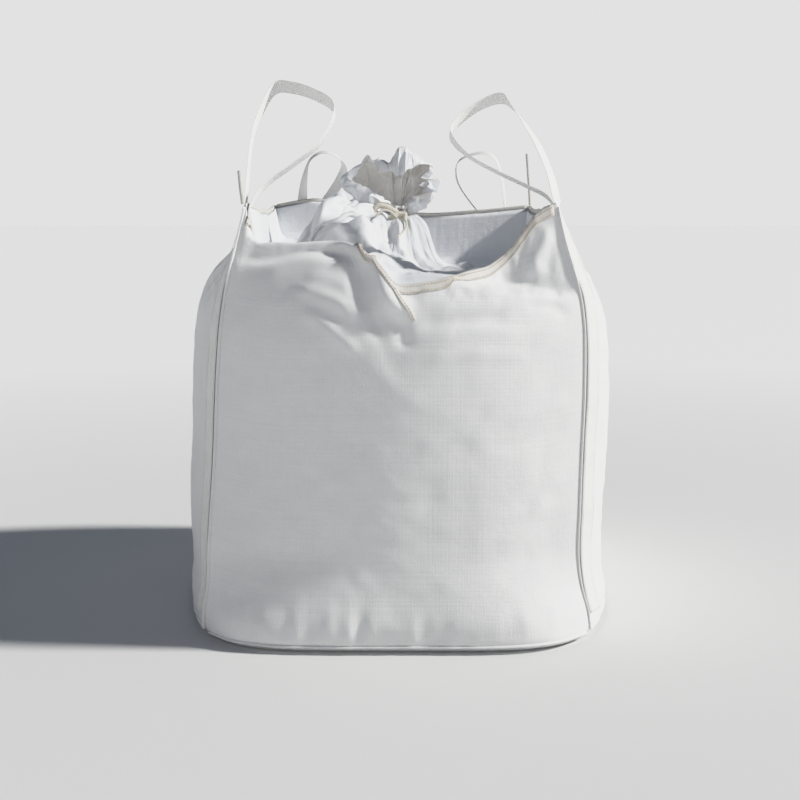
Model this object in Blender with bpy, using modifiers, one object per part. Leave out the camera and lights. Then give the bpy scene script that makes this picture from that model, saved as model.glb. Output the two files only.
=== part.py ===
"""Filled bulk bag (FIBC) of woven polypropylene with a tied duffle top and four lifting loops.

Metres, +Z up. The origin is the middle of the base, on the floor. The front is the -Y side.
Every sub-part is its own closed mesh. Fabric is drawn 2 mm thick and webbing 3 mm thick.
"""

import math

import bmesh
import bpy
import numpy as np
from mathutils import Vector

# ---------------------------------------------------------------- driving dimensions

RIM_TIP_HEIGHT = 1.078      # where two side panels meet at a corner of the mouth
RIM_SAG = 0.016             # how far the rim of a side drops between two corners
FABRIC = 0.002
WEBBING_WIDTH = 0.050
WEBBING = 0.003
HEM_WIDTH = 0.026
PANEL_FOOT = 0.0032         # side panels start just above the base panel
BASE_THICKNESS = 0.0026
SEAM_GAP = 0.0034           # from a panel's edge to the corner line
HEM_STANDOFF = 0.0035
STRAP_STANDOFF = 0.0070
STRAP_FOOT = 0.060
SEAM_RADIUS = 0.004
SEAM_OFFSET = 0.008         # of the corner seam's ridge, outward on the diagonal
BASE_SEAM_RADIUS = 0.003
BASE_SEAM_HEIGHT = 0.022
TAPE_RADIUS = 0.004
TIE_HEIGHT = 1.055
TIE_CORD_RADIUS = 0.005
NECK_RADIUS = 0.038
TAIL_FOOT = 1.066
TAIL_TOP = 1.247
FILL_CLEARANCE = 0.014
FILL_FOOT = 0.012
FILL_SHOULDER = 0.815

# the filled body: height, half the spacing of its corners, how far a side bulges past its corners
BODY_FORM = (
    (0.000, 0.448, 0.082),
    (0.015, 0.466, 0.096),
    (0.050, 0.478, 0.106),
    (0.150, 0.474, 0.112),
    (0.450, 0.460, 0.125),
    (0.700, 0.454, 0.127),
    (0.800, 0.449, 0.118),
    (0.870, 0.441, 0.092),
    (0.925, 0.431, 0.052),
    (0.980, 0.419, 0.018),
    (1.040, 0.408, -0.006),
    (1.100, 0.398, -0.018),
)

# the front rim has slumped into a V: place across the panel from left (-1) to right (1), height
FRONT_RIM = (
    (-1.00, RIM_TIP_HEIGHT),
    (-0.93, 0.990),
    (-0.30, 0.978),
    (-0.05, 0.885),
    (0.12, 0.874),
    (0.45, 0.910),
    (0.72, 0.965),
    (0.90, 1.035),
    (1.00, RIM_TIP_HEIGHT),
)

# each side: the way it faces, and the way that runs from its left to its right seen from outside
SIDES = {
    "front": (Vector((0, -1, 0)), Vector((1, 0, 0))),
    "right": (Vector((1, 0, 0)), Vector((0, 1, 0))),
    "back": (Vector((0, 1, 0)), Vector((-1, 0, 0))),
    "left": (Vector((-1, 0, 0)), Vector((0, -1, 0))),
}

CORNERS = {
    "front_left": (-1, -1),
    "front_right": (1, -1),
    "back_left": (-1, 1),
    "back_right": (1, 1),
}

# each sewn strap: its side panel, which end of that panel (-1 left, 1 right), seam to strap's middle
STRAPS = {
    "front_left": ("left", 1, 0.036),
    "front_right": ("right", -1, 0.036),
    "back_left": ("back", 1, 0.072),
    "back_right": ("back", -1, 0.072),
}
FRONT_STRAP_TOP = 1.070
BACK_STRAP_TOP = 0.945

# each loop: its foot, its lean over the mouth in degrees, and its line from the foot:
# first inboard along X, then up the leaning plane
LOOPS = {
    "front_left": (
        (-0.400, -0.375, 1.085),
        33,
        (
            (0.000, 0.014), (0.004, 0.100), (0.012, 0.200), (0.030, 0.285), (0.068, 0.374),
            (0.115, 0.378), (0.170, 0.358), (0.221, 0.322), (0.226, 0.278), (0.190, 0.192),
            (0.125, 0.126), (0.060, 0.072), (0.018, 0.024),
        ),
    ),
    "front_right": (
        (0.400, -0.375, 1.085),
        30,
        (
            (0.000, 0.014), (0.015, 0.095), (0.055, 0.204), (0.112, 0.305), (0.144, 0.331),
            (0.205, 0.302), (0.260, 0.248), (0.271, 0.208), (0.225, 0.146), (0.150, 0.096),
            (0.075, 0.056), (0.018, 0.024),
        ),
    ),
    "back_left": (
        (-0.345, 0.462, 0.968),
        -15,
        (
            (0.000, 0.012), (0.018, 0.075), (0.033, 0.148), (0.042, 0.211), (0.060, 0.270),
            (0.100, 0.296), (0.146, 0.283), (0.166, 0.252), (0.157, 0.214), (0.121, 0.160),
            (0.068, 0.092), (0.018, 0.022),
        ),
    ),
    "back_right": (
        (0.345, 0.462, 0.968),
        -15,
        (
            (0.000, 0.012), (0.016, 0.102), (0.023, 0.157), (0.033, 0.216), (0.054, 0.276),
            (0.092, 0.294), (0.142, 0.284), (0.172, 0.262), (0.174, 0.222), (0.156, 0.178),
            (0.107, 0.112), (0.055, 0.060), (0.018, 0.022),
        ),
    ),
}

# the ends of the filler tape that stand out of two corner seams
SEAM_TAPES = {
    "front_left": ((-0.409, -0.424, 1.092), (-0.408, -0.423, 1.125), (-0.403, -0.420, 1.176)),
    "back_right": (
        (0.402, 0.410, 1.092), (0.399, 0.411, 1.140), (0.394, 0.409, 1.195), (0.389, 0.404, 1.250),
    ),
}

# the two free ends of the tie, from the knot outward
TIE_ENDS = {
    "left": (
        (-0.014, -0.071, 1.058), (-0.030, -0.078, 1.072), (-0.050, -0.084, 1.074),
        (-0.066, -0.090, 1.060), (-0.070, -0.097, 1.040), (-0.060, -0.104, 1.024),
    ),
    "right": (
        (0.010, -0.074, 1.050), (0.016, -0.086, 1.040), (0.014, -0.100, 1.026),
        (0.004, -0.116, 1.014), (-0.008, -0.132, 1.004),
    ),
}
TIE_END_RADIUS = 0.003

# the duffle skirt, from the rim to the neck: share of the way from the wall to the neck, height
SKIRT_FORM = (
    (0.10, 0.906),
    (0.30, 0.916),
    (0.55, 0.930),
    (0.75, 0.955),
    (0.88, 0.992),
    (0.96, 1.030),
    (1.00, 1.050),
)
SKIRT_INSET = 0.008
SKIRT_BELOW_RIM = 0.016
SKIRT_NECK_TOP = 1.061

# the gathered tail above the tie: height, radius, depth of its pleats
TAIL_FORM = (
    (TAIL_FOOT, 0.030, 0.000),
    (1.085, 0.042, 0.004),
    (1.115, 0.078, 0.012),
    (1.150, 0.098, 0.016),
    (1.190, 0.094, 0.016),
    (1.225, 0.066, 0.012),
    (TAIL_TOP, 0.026, 0.002),
)
TAIL_PLEATS = 7

# ---------------------------------------------------------------- materials: colour, roughness, metallic

LOOKS = {
    "body_fabric": ((0.86, 0.87, 0.88), 0.55, 0.0),
    "skirt_fabric": ((0.87, 0.88, 0.92), 0.50, 0.0),
    "webbing": ((0.82, 0.83, 0.82), 0.60, 0.0),
    "hem_tape": ((0.80, 0.76, 0.68), 0.65, 0.0),
    "tie_cord": ((0.82, 0.79, 0.68), 0.60, 0.0),
    "bulk_product": ((0.70, 0.66, 0.58), 0.80, 0.0),
}


def material(name):
    """The named look as a Principled material, made on first use."""
    found = bpy.data.materials.get(name)
    if found:
        return found
    colour, roughness, metallic = LOOKS[name]
    made = bpy.data.materials.new(name)
    made.use_nodes = True
    shader = made.node_tree.nodes["Principled BSDF"]
    shader.inputs["Base Color"].default_value = (*colour, 1)
    shader.inputs["Roughness"].default_value = roughness
    shader.inputs["Metallic"].default_value = metallic
    return made


# ---------------------------------------------------------------- the body's form


def smooth_value(x, knots):
    """A smooth curve through knots, each of them x and then any number of values."""
    table = np.array(knots, dtype=float)
    places, values = table[:, 0], table[:, 1:]
    slopes = np.gradient(values, places, axis=0)
    i = int(np.clip(np.searchsorted(places, x) - 1, 0, len(places) - 2))
    span = places[i + 1] - places[i]
    t = float(np.clip((x - places[i]) / span, 0, 1))
    start = (2 * t**3 - 3 * t**2 + 1) * values[i] + (t**3 - 2 * t**2 + t) * span * slopes[i]
    end = (3 * t**2 - 2 * t**3) * values[i + 1] + (t**3 - t**2) * span * slopes[i + 1]
    return start + end


def smooth_route(points, steps):
    """Points along a Catmull-Rom curve through the given points, with so many steps a span."""
    given = [np.array(p, dtype=float) for p in points]
    padded = [2 * given[0] - given[1], *given, 2 * given[-1] - given[-2]]
    route = []
    for a, b, c, d in zip(padded, padded[1:], padded[2:], padded[3:]):
        for t in np.arange(steps) / steps:
            route.append(
                0.5 * (2 * b + (c - a) * t + (2 * a - 5 * b + 4 * c - d) * t**2
                       + (3 * b - a - 3 * c + d) * t**3)
            )
    route.append(given[-1])
    return route


def on_side(side, across, height, standoff=0.0):
    """A point of a side panel's outer face: across it from -1 to 1, at a height, moved outward."""
    facing, along = SIDES[side]
    corner, bulge = smooth_value(height, BODY_FORM)
    reach = corner + standoff + bulge * (1 - across**2)
    spread = corner + min(standoff, 0.0)
    return along * (spread * across) + facing * reach + Vector((0, 0, height))


def spread_rows(share):
    """Shares from 0 to 1, closer together near both ends, where the form curves most."""
    return share - 0.6 * math.sin(2 * math.pi * share) / (2 * math.pi)


def rim_height(side, across):
    if side == "front":
        places = [place for place, _ in FRONT_RIM]
        heights = [height for _, height in FRONT_RIM]
        return float(np.interp(across, places, heights))
    return RIM_TIP_HEIGHT - RIM_SAG * (1 - across**2)


# ---------------------------------------------------------------- making objects


def add_object(name, mesh, look, parts):
    made = bpy.data.objects.new(name, mesh)
    parts.objects.link(made)
    made.data.materials.append(material(look))
    return made


def thicken(made, thickness, offset):
    """Solidify: an offset of -1 keeps the drawn face outside, 1 keeps it inside."""
    shell = made.modifiers.new("thickness", "SOLIDIFY")
    shell.thickness = thickness
    shell.offset = offset
    shell.use_even_offset = False


def sheet_on_side(name, side, edges, heights, cells, look, parts, standoff=0.0, thickness=FABRIC):
    """A sheet lying on a side panel: edges(height) and heights(across) give its outline."""
    mesh = bpy.data.meshes.new(name)
    grid = bmesh.new()
    bmesh.ops.create_grid(grid, x_segments=cells[0], y_segments=cells[1], size=1)
    for vertex in grid.verts:
        share = (vertex.co.y + 1) / 2
        low_edge = edges(heights(0.0)[0])
        middle = np.mean(low_edge) + vertex.co.x * (low_edge[1] - low_edge[0]) / 2
        foot, top = heights(middle)
        height = foot + (top - foot) * spread_rows(share)
        left, right = edges(height)
        across = (left + right) / 2 + vertex.co.x * (right - left) / 2
        vertex.co = on_side(side, across, height, standoff)
    grid.to_mesh(mesh)
    grid.free()
    made = add_object(name, mesh, look, parts)
    thicken(made, thickness, -1 if standoff == 0 else 1)
    return made


def loft(name, rings, look, parts, closed=True):
    """Quads between rings of equally many points; closed ends are filled."""
    mesh = bpy.data.meshes.new(name)
    body = bmesh.new()
    rows = [[body.verts.new(point) for point in ring] for ring in rings]
    count = len(rows[0])
    for low, high in zip(rows, rows[1:]):
        for i in range(count):
            j = (i + 1) % count
            body.faces.new((low[i], low[j], high[j], high[i]))
    if closed:
        body.faces.new(reversed(rows[0]))
        body.faces.new(rows[-1])
    bmesh.ops.recalc_face_normals(body, faces=body.faces)
    body.to_mesh(mesh)
    body.free()
    return add_object(name, mesh, look, parts)


def tube(name, points, radius, look, parts, resolution=1):
    """A round tube along the points, with its ends filled."""
    curve = bpy.data.curves.new(name, "CURVE")
    curve.dimensions = "3D"
    curve.bevel_depth = radius
    curve.bevel_resolution = resolution
    curve.use_fill_caps = True
    line = curve.splines.new("POLY")
    line.points.add(len(points) - 1)
    for point, place in zip(line.points, points):
        point.co = (*place, 1)
    return add_object(name, curve, look, parts)


# ---------------------------------------------------------------- the sub-parts


def side_outline(height, inset, per_side=10):
    """The body's outline at a height, moved inward, once round from the front left corner."""
    ring = []
    for side in SIDES:
        for i in range(per_side):
            ring.append(on_side(side, 2 * i / per_side - 1, height, -inset))
    return ring


def add_bulk_fill(parts):
    """The heaped product: it fills the body to the shoulder and rises a little to the middle."""
    foot = side_outline(FILL_FOOT, FILL_CLEARANCE)
    rings = [
        [Vector((point.x * share, point.y * share, FILL_FOOT)) for point in foot]
        for share in (0.3, 0.7)
    ]
    rows = 11
    for i in range(rows + 1):
        height = FILL_FOOT + (FILL_SHOULDER - FILL_FOOT) * spread_rows(i / rows)
        rings.append(side_outline(height, FILL_CLEARANCE))
    shoulder = rings[-1]
    for share, height in ((0.95, 0.850), (0.84, 0.871), (0.50, 0.884), (0.20, 0.889)):
        rings.append([Vector((point.x * share, point.y * share, height)) for point in shoulder])
    loft("bulk_fill", rings, "bulk_product", parts)


def add_side_panels(parts):
    for side in SIDES:
        def edges(height):
            inner = 1 - SEAM_GAP / smooth_value(height, BODY_FORM)[0]
            return -inner, inner

        def heights(across):
            return PANEL_FOOT, rim_height(side, across)

        sheet_on_side(f"{side}_panel", side, edges, heights, (14, 15), "body_fabric", parts)


def add_base_panel(parts):
    """The flat square base, pushed out to the filled body's footprint."""
    outline = side_outline(0.0, 0.002, per_side=8)
    low = [Vector((point.x, point.y, 0)) for point in outline]
    high = [Vector((point.x, point.y, BASE_THICKNESS)) for point in outline]
    loft("base_panel", [low, high], "body_fabric", parts)


def add_corner_seams(parts):
    """The sewn ridge down each corner, and the ends of its filler tape above the rim."""
    for corner, (x, y) in CORNERS.items():
        points = []
        for height in np.linspace(0.034, RIM_TIP_HEIGHT - 0.004, 14):
            spread = smooth_value(height, BODY_FORM)[0] + SEAM_OFFSET / math.sqrt(2)
            points.append((x * spread, y * spread, height))
        tube(f"corner_seam_{corner}", points, SEAM_RADIUS, "body_fabric", parts, resolution=0)
    for corner, points in SEAM_TAPES.items():
        route = smooth_route(points, 5)
        tube(f"seam_tape_{corner}", route, TAPE_RADIUS, "webbing", parts, resolution=2)


def add_base_seams(parts):
    for side in SIDES:
        standoff = BASE_SEAM_RADIUS + 0.0025
        points = [
            on_side(side, across, BASE_SEAM_HEIGHT, standoff)
            for across in np.linspace(-0.93, 0.93, 11)
        ]
        tube(f"base_seam_{side}", points, BASE_SEAM_RADIUS, "body_fabric", parts, resolution=0)


def add_rim_hems(parts):
    """The folded and stitched band outside each panel's top edge."""
    for side in SIDES:
        def edges(height):
            return -0.962, 0.962

        def heights(across):
            top = rim_height(side, across) - 0.001
            return top - HEM_WIDTH, top

        sheet_on_side(
            f"rim_hem_{side}", side, edges, heights, (14, 1), "hem_tape", parts, HEM_STANDOFF
        )


def add_corner_straps(parts):
    """The webbing sewn down the body beside each corner seam, which carries a lifting loop."""
    for corner, (side, end, setback) in STRAPS.items():
        top = FRONT_STRAP_TOP if corner.startswith("front") else BACK_STRAP_TOP

        def edges(height):
            spread = smooth_value(height, BODY_FORM)[0]
            near = end * (1 - (setback - WEBBING_WIDTH / 2) / spread)
            far = end * (1 - (setback + WEBBING_WIDTH / 2) / spread)
            return min(near, far), max(near, far)

        def heights(across):
            return STRAP_FOOT, top

        sheet_on_side(
            f"corner_strap_{corner}", side, edges, heights, (2, 14), "webbing", parts,
            STRAP_STANDOFF, WEBBING,
        )


def add_lifting_loops(parts):
    """One band of webbing a corner, up from its strap, over and back down beside itself."""
    for corner, (foot, lean, line) in LOOPS.items():
        inboard = -1 if foot[0] > 0 else 1
        tilt = math.radians(lean)
        up = Vector((0, math.sin(tilt), math.cos(tilt)))
        across = Vector((0, -math.cos(tilt), math.sin(tilt)))
        route = [
            Vector(foot) + Vector((inboard * x, 0, 0)) + up * rise
            for x, rise in smooth_route(line, 3)
        ]
        rings = []
        for i, centre in enumerate(route):
            before, after = route[max(i - 1, 0)], route[min(i + 1, len(route) - 1)]
            outward = (after - before).normalized().cross(across)
            half, thick = across * WEBBING_WIDTH / 2, outward * WEBBING / 2
            rings.append([
                centre - half - thick, centre + half - thick,
                centre + half + thick, centre - half + thick,
            ])
        loft(f"lifting_loop_{corner}", rings, "webbing", parts)


def add_duffle_skirt(parts):
    """The thin skirt from inside the rim, over the product, up to the tied neck."""
    per_side = 9
    outer, angles = [], []
    for side in SIDES:
        for i in range(per_side):
            across = 2 * i / per_side - 1
            height = rim_height(side, across) - SKIRT_BELOW_RIM
            outer.append(on_side(side, across, height, -SKIRT_INSET))
    for i in range(len(outer)):
        angles.append(-3 * math.pi / 4 + 2 * math.pi * i / len(outer))
    neck = [Vector((NECK_RADIUS * math.cos(a), NECK_RADIUS * math.sin(a), 0)) for a in angles]
    rings = [outer]
    for share, height in SKIRT_FORM:
        rings.append([
            Vector((rim.x + (end.x - rim.x) * share, rim.y + (end.y - rim.y) * share, height))
            for rim, end in zip(outer, neck)
        ])
    rings.append([Vector((end.x, end.y, SKIRT_NECK_TOP)) for end in neck])
    made = loft("duffle_skirt", rings, "skirt_fabric", parts, closed=False)
    thicken(made, FABRIC, 0)


def add_duffle_tail(parts):
    """The fanned gather of fabric above the tie."""
    count = TAIL_PLEATS * 4
    rings = []
    for height, radius, pleat in TAIL_FORM:
        ring = []
        for i in range(count):
            angle = 2 * math.pi * i / count
            reach = radius + pleat * math.cos(TAIL_PLEATS * angle)
            ring.append(Vector((reach * math.cos(angle), 0.7 * reach * math.sin(angle), height)))
        rings.append(ring)
    loft("duffle_tail", rings, "skirt_fabric", parts)


def add_tie(parts):
    """The cord round the neck, its knot at the front and its two free ends."""
    ring_radius = NECK_RADIUS + TIE_CORD_RADIUS + 0.003
    bpy.ops.mesh.primitive_torus_add(
        major_segments=24, minor_segments=8, major_radius=ring_radius,
        minor_radius=TIE_CORD_RADIUS, location=(0, 0, TIE_HEIGHT),
    )
    ring = bpy.context.object
    bpy.ops.mesh.primitive_ico_sphere_add(
        subdivisions=2, radius=0.010,
        location=(0, -ring_radius - TIE_CORD_RADIUS - 0.011, TIE_HEIGHT),
    )
    knot = bpy.context.object
    for made, name in ((ring, "tie_band"), (knot, "tie_knot")):
        made.name = name
        made.data.materials.append(material("tie_cord"))
        for collection in list(made.users_collection):
            collection.objects.unlink(made)
        parts.objects.link(made)
    for end, points in TIE_ENDS.items():
        route = smooth_route(points, 3)
        tube(f"tie_end_{end}", route, TIE_END_RADIUS, "tie_cord", parts, resolution=2)


def main():
    for old in list(bpy.data.objects):
        bpy.data.objects.remove(old, do_unlink=True)
    parts = bpy.data.collections.new("bulk_bag")
    bpy.context.scene.collection.children.link(parts)
    add_bulk_fill(parts)
    add_side_panels(parts)
    add_base_panel(parts)
    add_corner_seams(parts)
    add_base_seams(parts)
    add_rim_hems(parts)
    add_corner_straps(parts)
    add_lifting_loops(parts)
    add_duffle_skirt(parts)
    add_duffle_tail(parts)
    add_tie(parts)


main()
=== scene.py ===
"""The looks of a filled bulk bag of woven polypropylene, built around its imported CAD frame.

Metres, +Z up, in the frame's own axes: the origin is the middle of the base and the front is -Y.
"""

import math

import bpy
import numpy as np
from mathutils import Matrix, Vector


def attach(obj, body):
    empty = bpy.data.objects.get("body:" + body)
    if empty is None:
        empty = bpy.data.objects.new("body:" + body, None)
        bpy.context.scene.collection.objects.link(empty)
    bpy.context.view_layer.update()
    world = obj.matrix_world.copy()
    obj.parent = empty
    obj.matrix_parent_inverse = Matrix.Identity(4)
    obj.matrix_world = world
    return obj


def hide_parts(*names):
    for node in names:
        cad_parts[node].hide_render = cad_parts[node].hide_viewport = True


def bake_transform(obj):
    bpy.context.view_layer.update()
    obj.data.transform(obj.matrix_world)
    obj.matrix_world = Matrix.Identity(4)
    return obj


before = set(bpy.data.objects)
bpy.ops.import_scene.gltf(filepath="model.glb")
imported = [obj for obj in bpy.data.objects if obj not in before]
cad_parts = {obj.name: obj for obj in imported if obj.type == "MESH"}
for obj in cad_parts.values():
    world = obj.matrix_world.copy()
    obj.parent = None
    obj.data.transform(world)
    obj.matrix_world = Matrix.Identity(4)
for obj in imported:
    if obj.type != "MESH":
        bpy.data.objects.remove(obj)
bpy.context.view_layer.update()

# ---------------------------------------------------------------- the bag's dimensions

PANEL_WIDTH = 0.95          # a side panel lies flat at this width and height
STRAP_FOOT = 0.060
BASE_SEAM_HEIGHT = 0.022
TIE_HEIGHT = 1.055
WEBBING_WIDTH = 0.050

# each side: the way it faces, and the way that runs from its left to its right seen from outside
SIDES = {
    "front": ((0, -1, 0), (1, 0, 0)),
    "right": ((1, 0, 0), (0, 1, 0)),
    "back": ((0, 1, 0), (-1, 0, 0)),
    "left": ((-1, 0, 0), (0, -1, 0)),
}

CORNERS = {
    "front_left": (-1, -1),
    "front_right": (1, -1),
    "back_right": (1, 1),
    "back_left": (-1, 1),
}

# each sewn strap: its side panel, which end of that panel, and the seam's distance to its middle
STRAPS = {
    "front_left": ("left", 1, 0.036),
    "front_right": ("right", -1, 0.036),
    "back_left": ("back", 1, 0.072),
    "back_right": ("back", -1, 0.072),
}

# each loop: its foot, its lean in degrees, and its line, first inboard along X, then up the lean
LOOPS = {
    "front_left": (
        (-0.400, -0.375, 1.085),
        33,
        (
            (0.000, 0.014), (0.004, 0.100), (0.012, 0.200), (0.030, 0.285), (0.068, 0.374),
            (0.115, 0.378), (0.170, 0.358), (0.221, 0.322), (0.226, 0.278), (0.190, 0.192),
            (0.125, 0.126), (0.060, 0.072), (0.018, 0.024),
        ),
    ),
    "front_right": (
        (0.400, -0.375, 1.085),
        30,
        (
            (0.000, 0.014), (0.015, 0.095), (0.055, 0.204), (0.112, 0.305), (0.144, 0.331),
            (0.205, 0.302), (0.260, 0.248), (0.271, 0.208), (0.225, 0.146), (0.150, 0.096),
            (0.075, 0.056), (0.018, 0.024),
        ),
    ),
    "back_left": (
        (-0.345, 0.462, 0.968),
        -15,
        (
            (0.000, 0.012), (0.018, 0.075), (0.033, 0.148), (0.042, 0.211), (0.060, 0.270),
            (0.100, 0.296), (0.146, 0.283), (0.166, 0.252), (0.157, 0.214), (0.121, 0.160),
            (0.068, 0.092), (0.018, 0.022),
        ),
    ),
    "back_right": (
        (0.345, 0.462, 0.968),
        -15,
        (
            (0.000, 0.012), (0.016, 0.102), (0.023, 0.157), (0.033, 0.216), (0.054, 0.276),
            (0.092, 0.294), (0.142, 0.284), (0.172, 0.262), (0.174, 0.222), (0.156, 0.178),
            (0.107, 0.112), (0.055, 0.060), (0.018, 0.022),
        ),
    ),
}

# the ends of the filler tape that stand out of two corner seams, and their real lengths
SEAM_TAPES = {
    "front_left": ((-0.407, -0.405, 1.089), (-0.408, -0.413, 1.128), (-0.407, -0.417, 1.171)),
    "back_right": (
        (0.402, 0.410, 1.092), (0.399, 0.411, 1.140), (0.394, 0.409, 1.195), (0.389, 0.404, 1.250),
    ),
}
SEAM_TAPE_WIDTH = 0.008

# the two free ends of the tie, from the knot outward, and their real lengths
TIE_ENDS = {
    "left": (
        (-0.014, -0.071, 1.058), (-0.030, -0.078, 1.072), (-0.050, -0.084, 1.074),
        (-0.066, -0.090, 1.060), (-0.070, -0.097, 1.040), (-0.060, -0.104, 1.024),
    ),
    "right": (
        (0.010, -0.074, 1.050), (0.016, -0.086, 1.040), (0.014, -0.100, 1.026),
        (0.004, -0.116, 1.014), (-0.008, -0.132, 1.004),
    ),
}
# the bow's loop and the knot, as one line
TIE_BOW = (
    (0.004, -0.038, 1.056), (-0.022, -0.054, 1.076), (-0.056, -0.062, 1.088), (-0.076, -0.064, 1.072),
    (-0.060, -0.065, 1.052), (-0.022, -0.064, 1.054), (0.006, -0.060, 1.056), (0.014, -0.054, 1.060),
    (0.008, -0.046, 1.066), (-0.006, -0.044, 1.062), (-0.014, -0.052, 1.050), (-0.004, -0.066, 1.046),
    (0.010, -0.070, 1.052), (0.008, -0.066, 1.062), (-0.008, -0.066, 1.064), (-0.016, -0.070, 1.058),
)
TIE_TURNS = 3
TIE_END_WIDTH = 0.006

# ---------------------------------------------------------------- what only the looks add

COLUMNS = 80                # cells across one side panel
ROWS = 96                   # cells up it
CELL_WIDTH = PANEL_WIDTH / COLUMNS
PANEL_FOOT = 0.0032
RIM_TIP_HEIGHT = 1.092      # the corners of the mouth, drawn up by the loops
RIM_SAG = 0.018
RIM_BLUR = 0.02             # the front rim's corners are rounded over this share of its half width
FABRIC = 0.0012             # thickness
THIN_FABRIC = 0.0009
WEBBING = 0.0018
WEBBING_STEP = 0.008        # between the points along a band
STRAP_STANDOFF = 0.0030     # from the panel to the middle of the strap outside
NECK_RADIUS = 0.029
NECK_TOP = 1.062
SKIRT_ROWS = 46
SKIRT_DROP = 0.004          # the skirt is sewn this far below the rim

# height, half the spacing of the corners, how far a side bulges past its corners
BODY_FORM = (
    (0.000, 0.462, 0.098), (0.015, 0.474, 0.106), (0.050, 0.480, 0.110), (0.150, 0.474, 0.112),
    (0.450, 0.460, 0.125), (0.700, 0.454, 0.127), (0.800, 0.449, 0.118), (0.870, 0.441, 0.092),
    (0.925, 0.431, 0.052), (0.980, 0.419, 0.018), (1.040, 0.408, -0.006), (1.100, 0.398, -0.018),
)

# the fill pushes some sides out at the foot and draws others in: how much squarer, how far out
FEET = {"front": (3.5, 0.019), "right": (0.0, -0.016), "back": (3.0, 0.006), "left": (0.0, -0.016)}

# how deeply each panel is creased
RELIEF = {"front": 1.0, "right": 2.6, "back": 1.2, "left": 1.0}

# how much higher each side's shoulder lies than the body's form has it
SHOULDER_LIFTS = {"front": 0.0, "right": 0.010, "back": 0.024, "left": 0.040}

# the front rim's slump: place across the panel from left (-1) to right (1), height
FRONT_RIM = (
    (-1.00, 1.092), (-0.93, 1.010), (-0.865, 0.991), (-0.30, 0.994), (-0.227, 0.992),
    (-0.17, 0.966), (-0.033, 0.897), (0.03, 0.894), (0.22, 0.905), (0.36, 0.925),
    (0.51, 0.938), (0.60, 0.962), (0.68, 0.990), (0.77, 1.029), (0.85, 1.062), (1.00, 1.092),
)

# the back rim, which the duffle draws down on the right
BACK_RIM = (
    (-1.00, 1.092), (-0.60, 1.076), (-0.10, 1.067), (0.35, 1.094), (0.70, 1.110), (1.00, 1.092),
)

# the free wall above the front's shoulder: place across, height where the panel turns inward
FRONT_SHOULDER = (
    (-1.00, 0.950), (-0.80, 0.950), (-0.52, 0.966), (-0.35, 0.960), (-0.20, 0.957), (0.00, 0.955),
    (0.20, 0.940), (0.33, 0.911), (0.52, 0.895), (0.66, 0.886), (0.87, 0.876), (1.00, 0.874),
)

# the front where the fill holds it: height, how far it bulges past its corners
FRONT_BULGE = (
    (0.80, 0.118), (0.85, 0.110), (0.89, 0.098), (0.92, 0.084), (0.94, 0.074), (0.99, 0.060),
)
FREE_WALL_BULGE = 0.006     # the free wall above it, and how much further it stands at the slump
SLUMP_BULGE = 0.058
FREE_WALL_LEAN = 0.55       # outward, for each metre above the shoulder, on the left

# the left of the front's cut edge has turned over inward: how far in and up from the crest
FRONT_FLAP = (
    (0.003, 0.0028), (0.008, 0.0040), (0.016, 0.0036), (0.028, 0.000), (0.044, -0.006),
    (0.060, -0.016), (0.072, -0.030),
)

# ranges across the front or up it, each from where a thing starts to where it is full
SHOULDER_RISE = (0.70, 0.84)            # heights between which the shoulder's lift comes in
SHOULDER_FALL = (1.05, 0.93)
SHOULDER_STEP = (-0.014, 0.006)         # from the shoulder's own height
FOOT_RISE = (0.24, 0.0)
LEANING_WALL = (-0.05, -0.25)
SLUMP_LEFT = (-0.42, -0.20)
SLUMP_RIGHT = (0.66, 0.34)
FLAP_LEFT = (-0.985, -0.90)
FLAP_RIGHT = (-0.20, -0.33)

# the bag doesn't stand quite square: height, how far its front corners lie to the right
LEFT_LEAN = (
    (0.000, -0.016), (0.036, -0.017), (0.098, -0.011), (0.232, -0.011), (0.450, -0.003),
    (0.712, 0.006), (0.848, 0.011), (0.973, 0.013), (1.085, 0.018), (1.200, 0.010), (1.420, 0.000),
)
RIGHT_LEAN = (
    (0.000, 0.008), (0.065, -0.005), (0.102, -0.013), (0.191, -0.023), (0.339, -0.015),
    (0.624, -0.001), (0.861, 0.001), (0.950, -0.006), (1.085, -0.013), (1.200, -0.006),
    (1.420, 0.000),
)
LEAN_DEPTH = (0.15, -0.30)      # it fades out toward the back, and toward the middle on each side
LEAN_LEFT = (-0.18, -0.40)
LEAN_RIGHT = (0.18, 0.40)
LOOP_SETTLE = 0.013             # how far the tops of the front loops have sunk
LOOP_HEIGHTS = (1.09, 1.42)

# which way the width of each loop's band points: on its first leg, over its top, on its last leg
BAND_WIDTHS = {
    "front_left": ((0, -0.97, 0.22), (0, -0.84, 0.54), (0, -0.98, 0.16)),
    "front_right": ((-0.48, -0.87, 0.12), (0, -0.87, 0.50), (0, -0.99, 0.12)),
    "back_left": ((0.62, -0.78, 0), (0.12, -0.97, -0.20), (0.66, -0.75, 0)),
    "back_right": ((-0.22, -0.97, 0), (-0.10, -0.97, -0.20), (-0.18, -0.98, 0)),
}
BAND_TURNS = (0, 0.22, 0.34, 0.58, 0.72, 1)     # shares of the loop: each way holds over one pair

# half the width and thickness of each corner's sewn ridge, and how far it turns to front or back
SEAM_FINS = {
    "front_left": (0.0046, 0.0017),
    "front_right": (0.0030, 0.0016),
    "back_right": (0.0040, 0.0017),
    "back_left": (0.0040, 0.0017),
}
SEAM_TURNS = {"front_left": 0.7, "front_right": 0.3, "back_right": 0.7, "back_left": 0.7}
BASE_SEAM_FIN = (0.0042, 0.0016)
BASE_SEAM_DROOP = -0.55     # how steeply the base's ridge points down
SEAM_STANDOFF = 0.0020      # of every ridge's middle line

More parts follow.
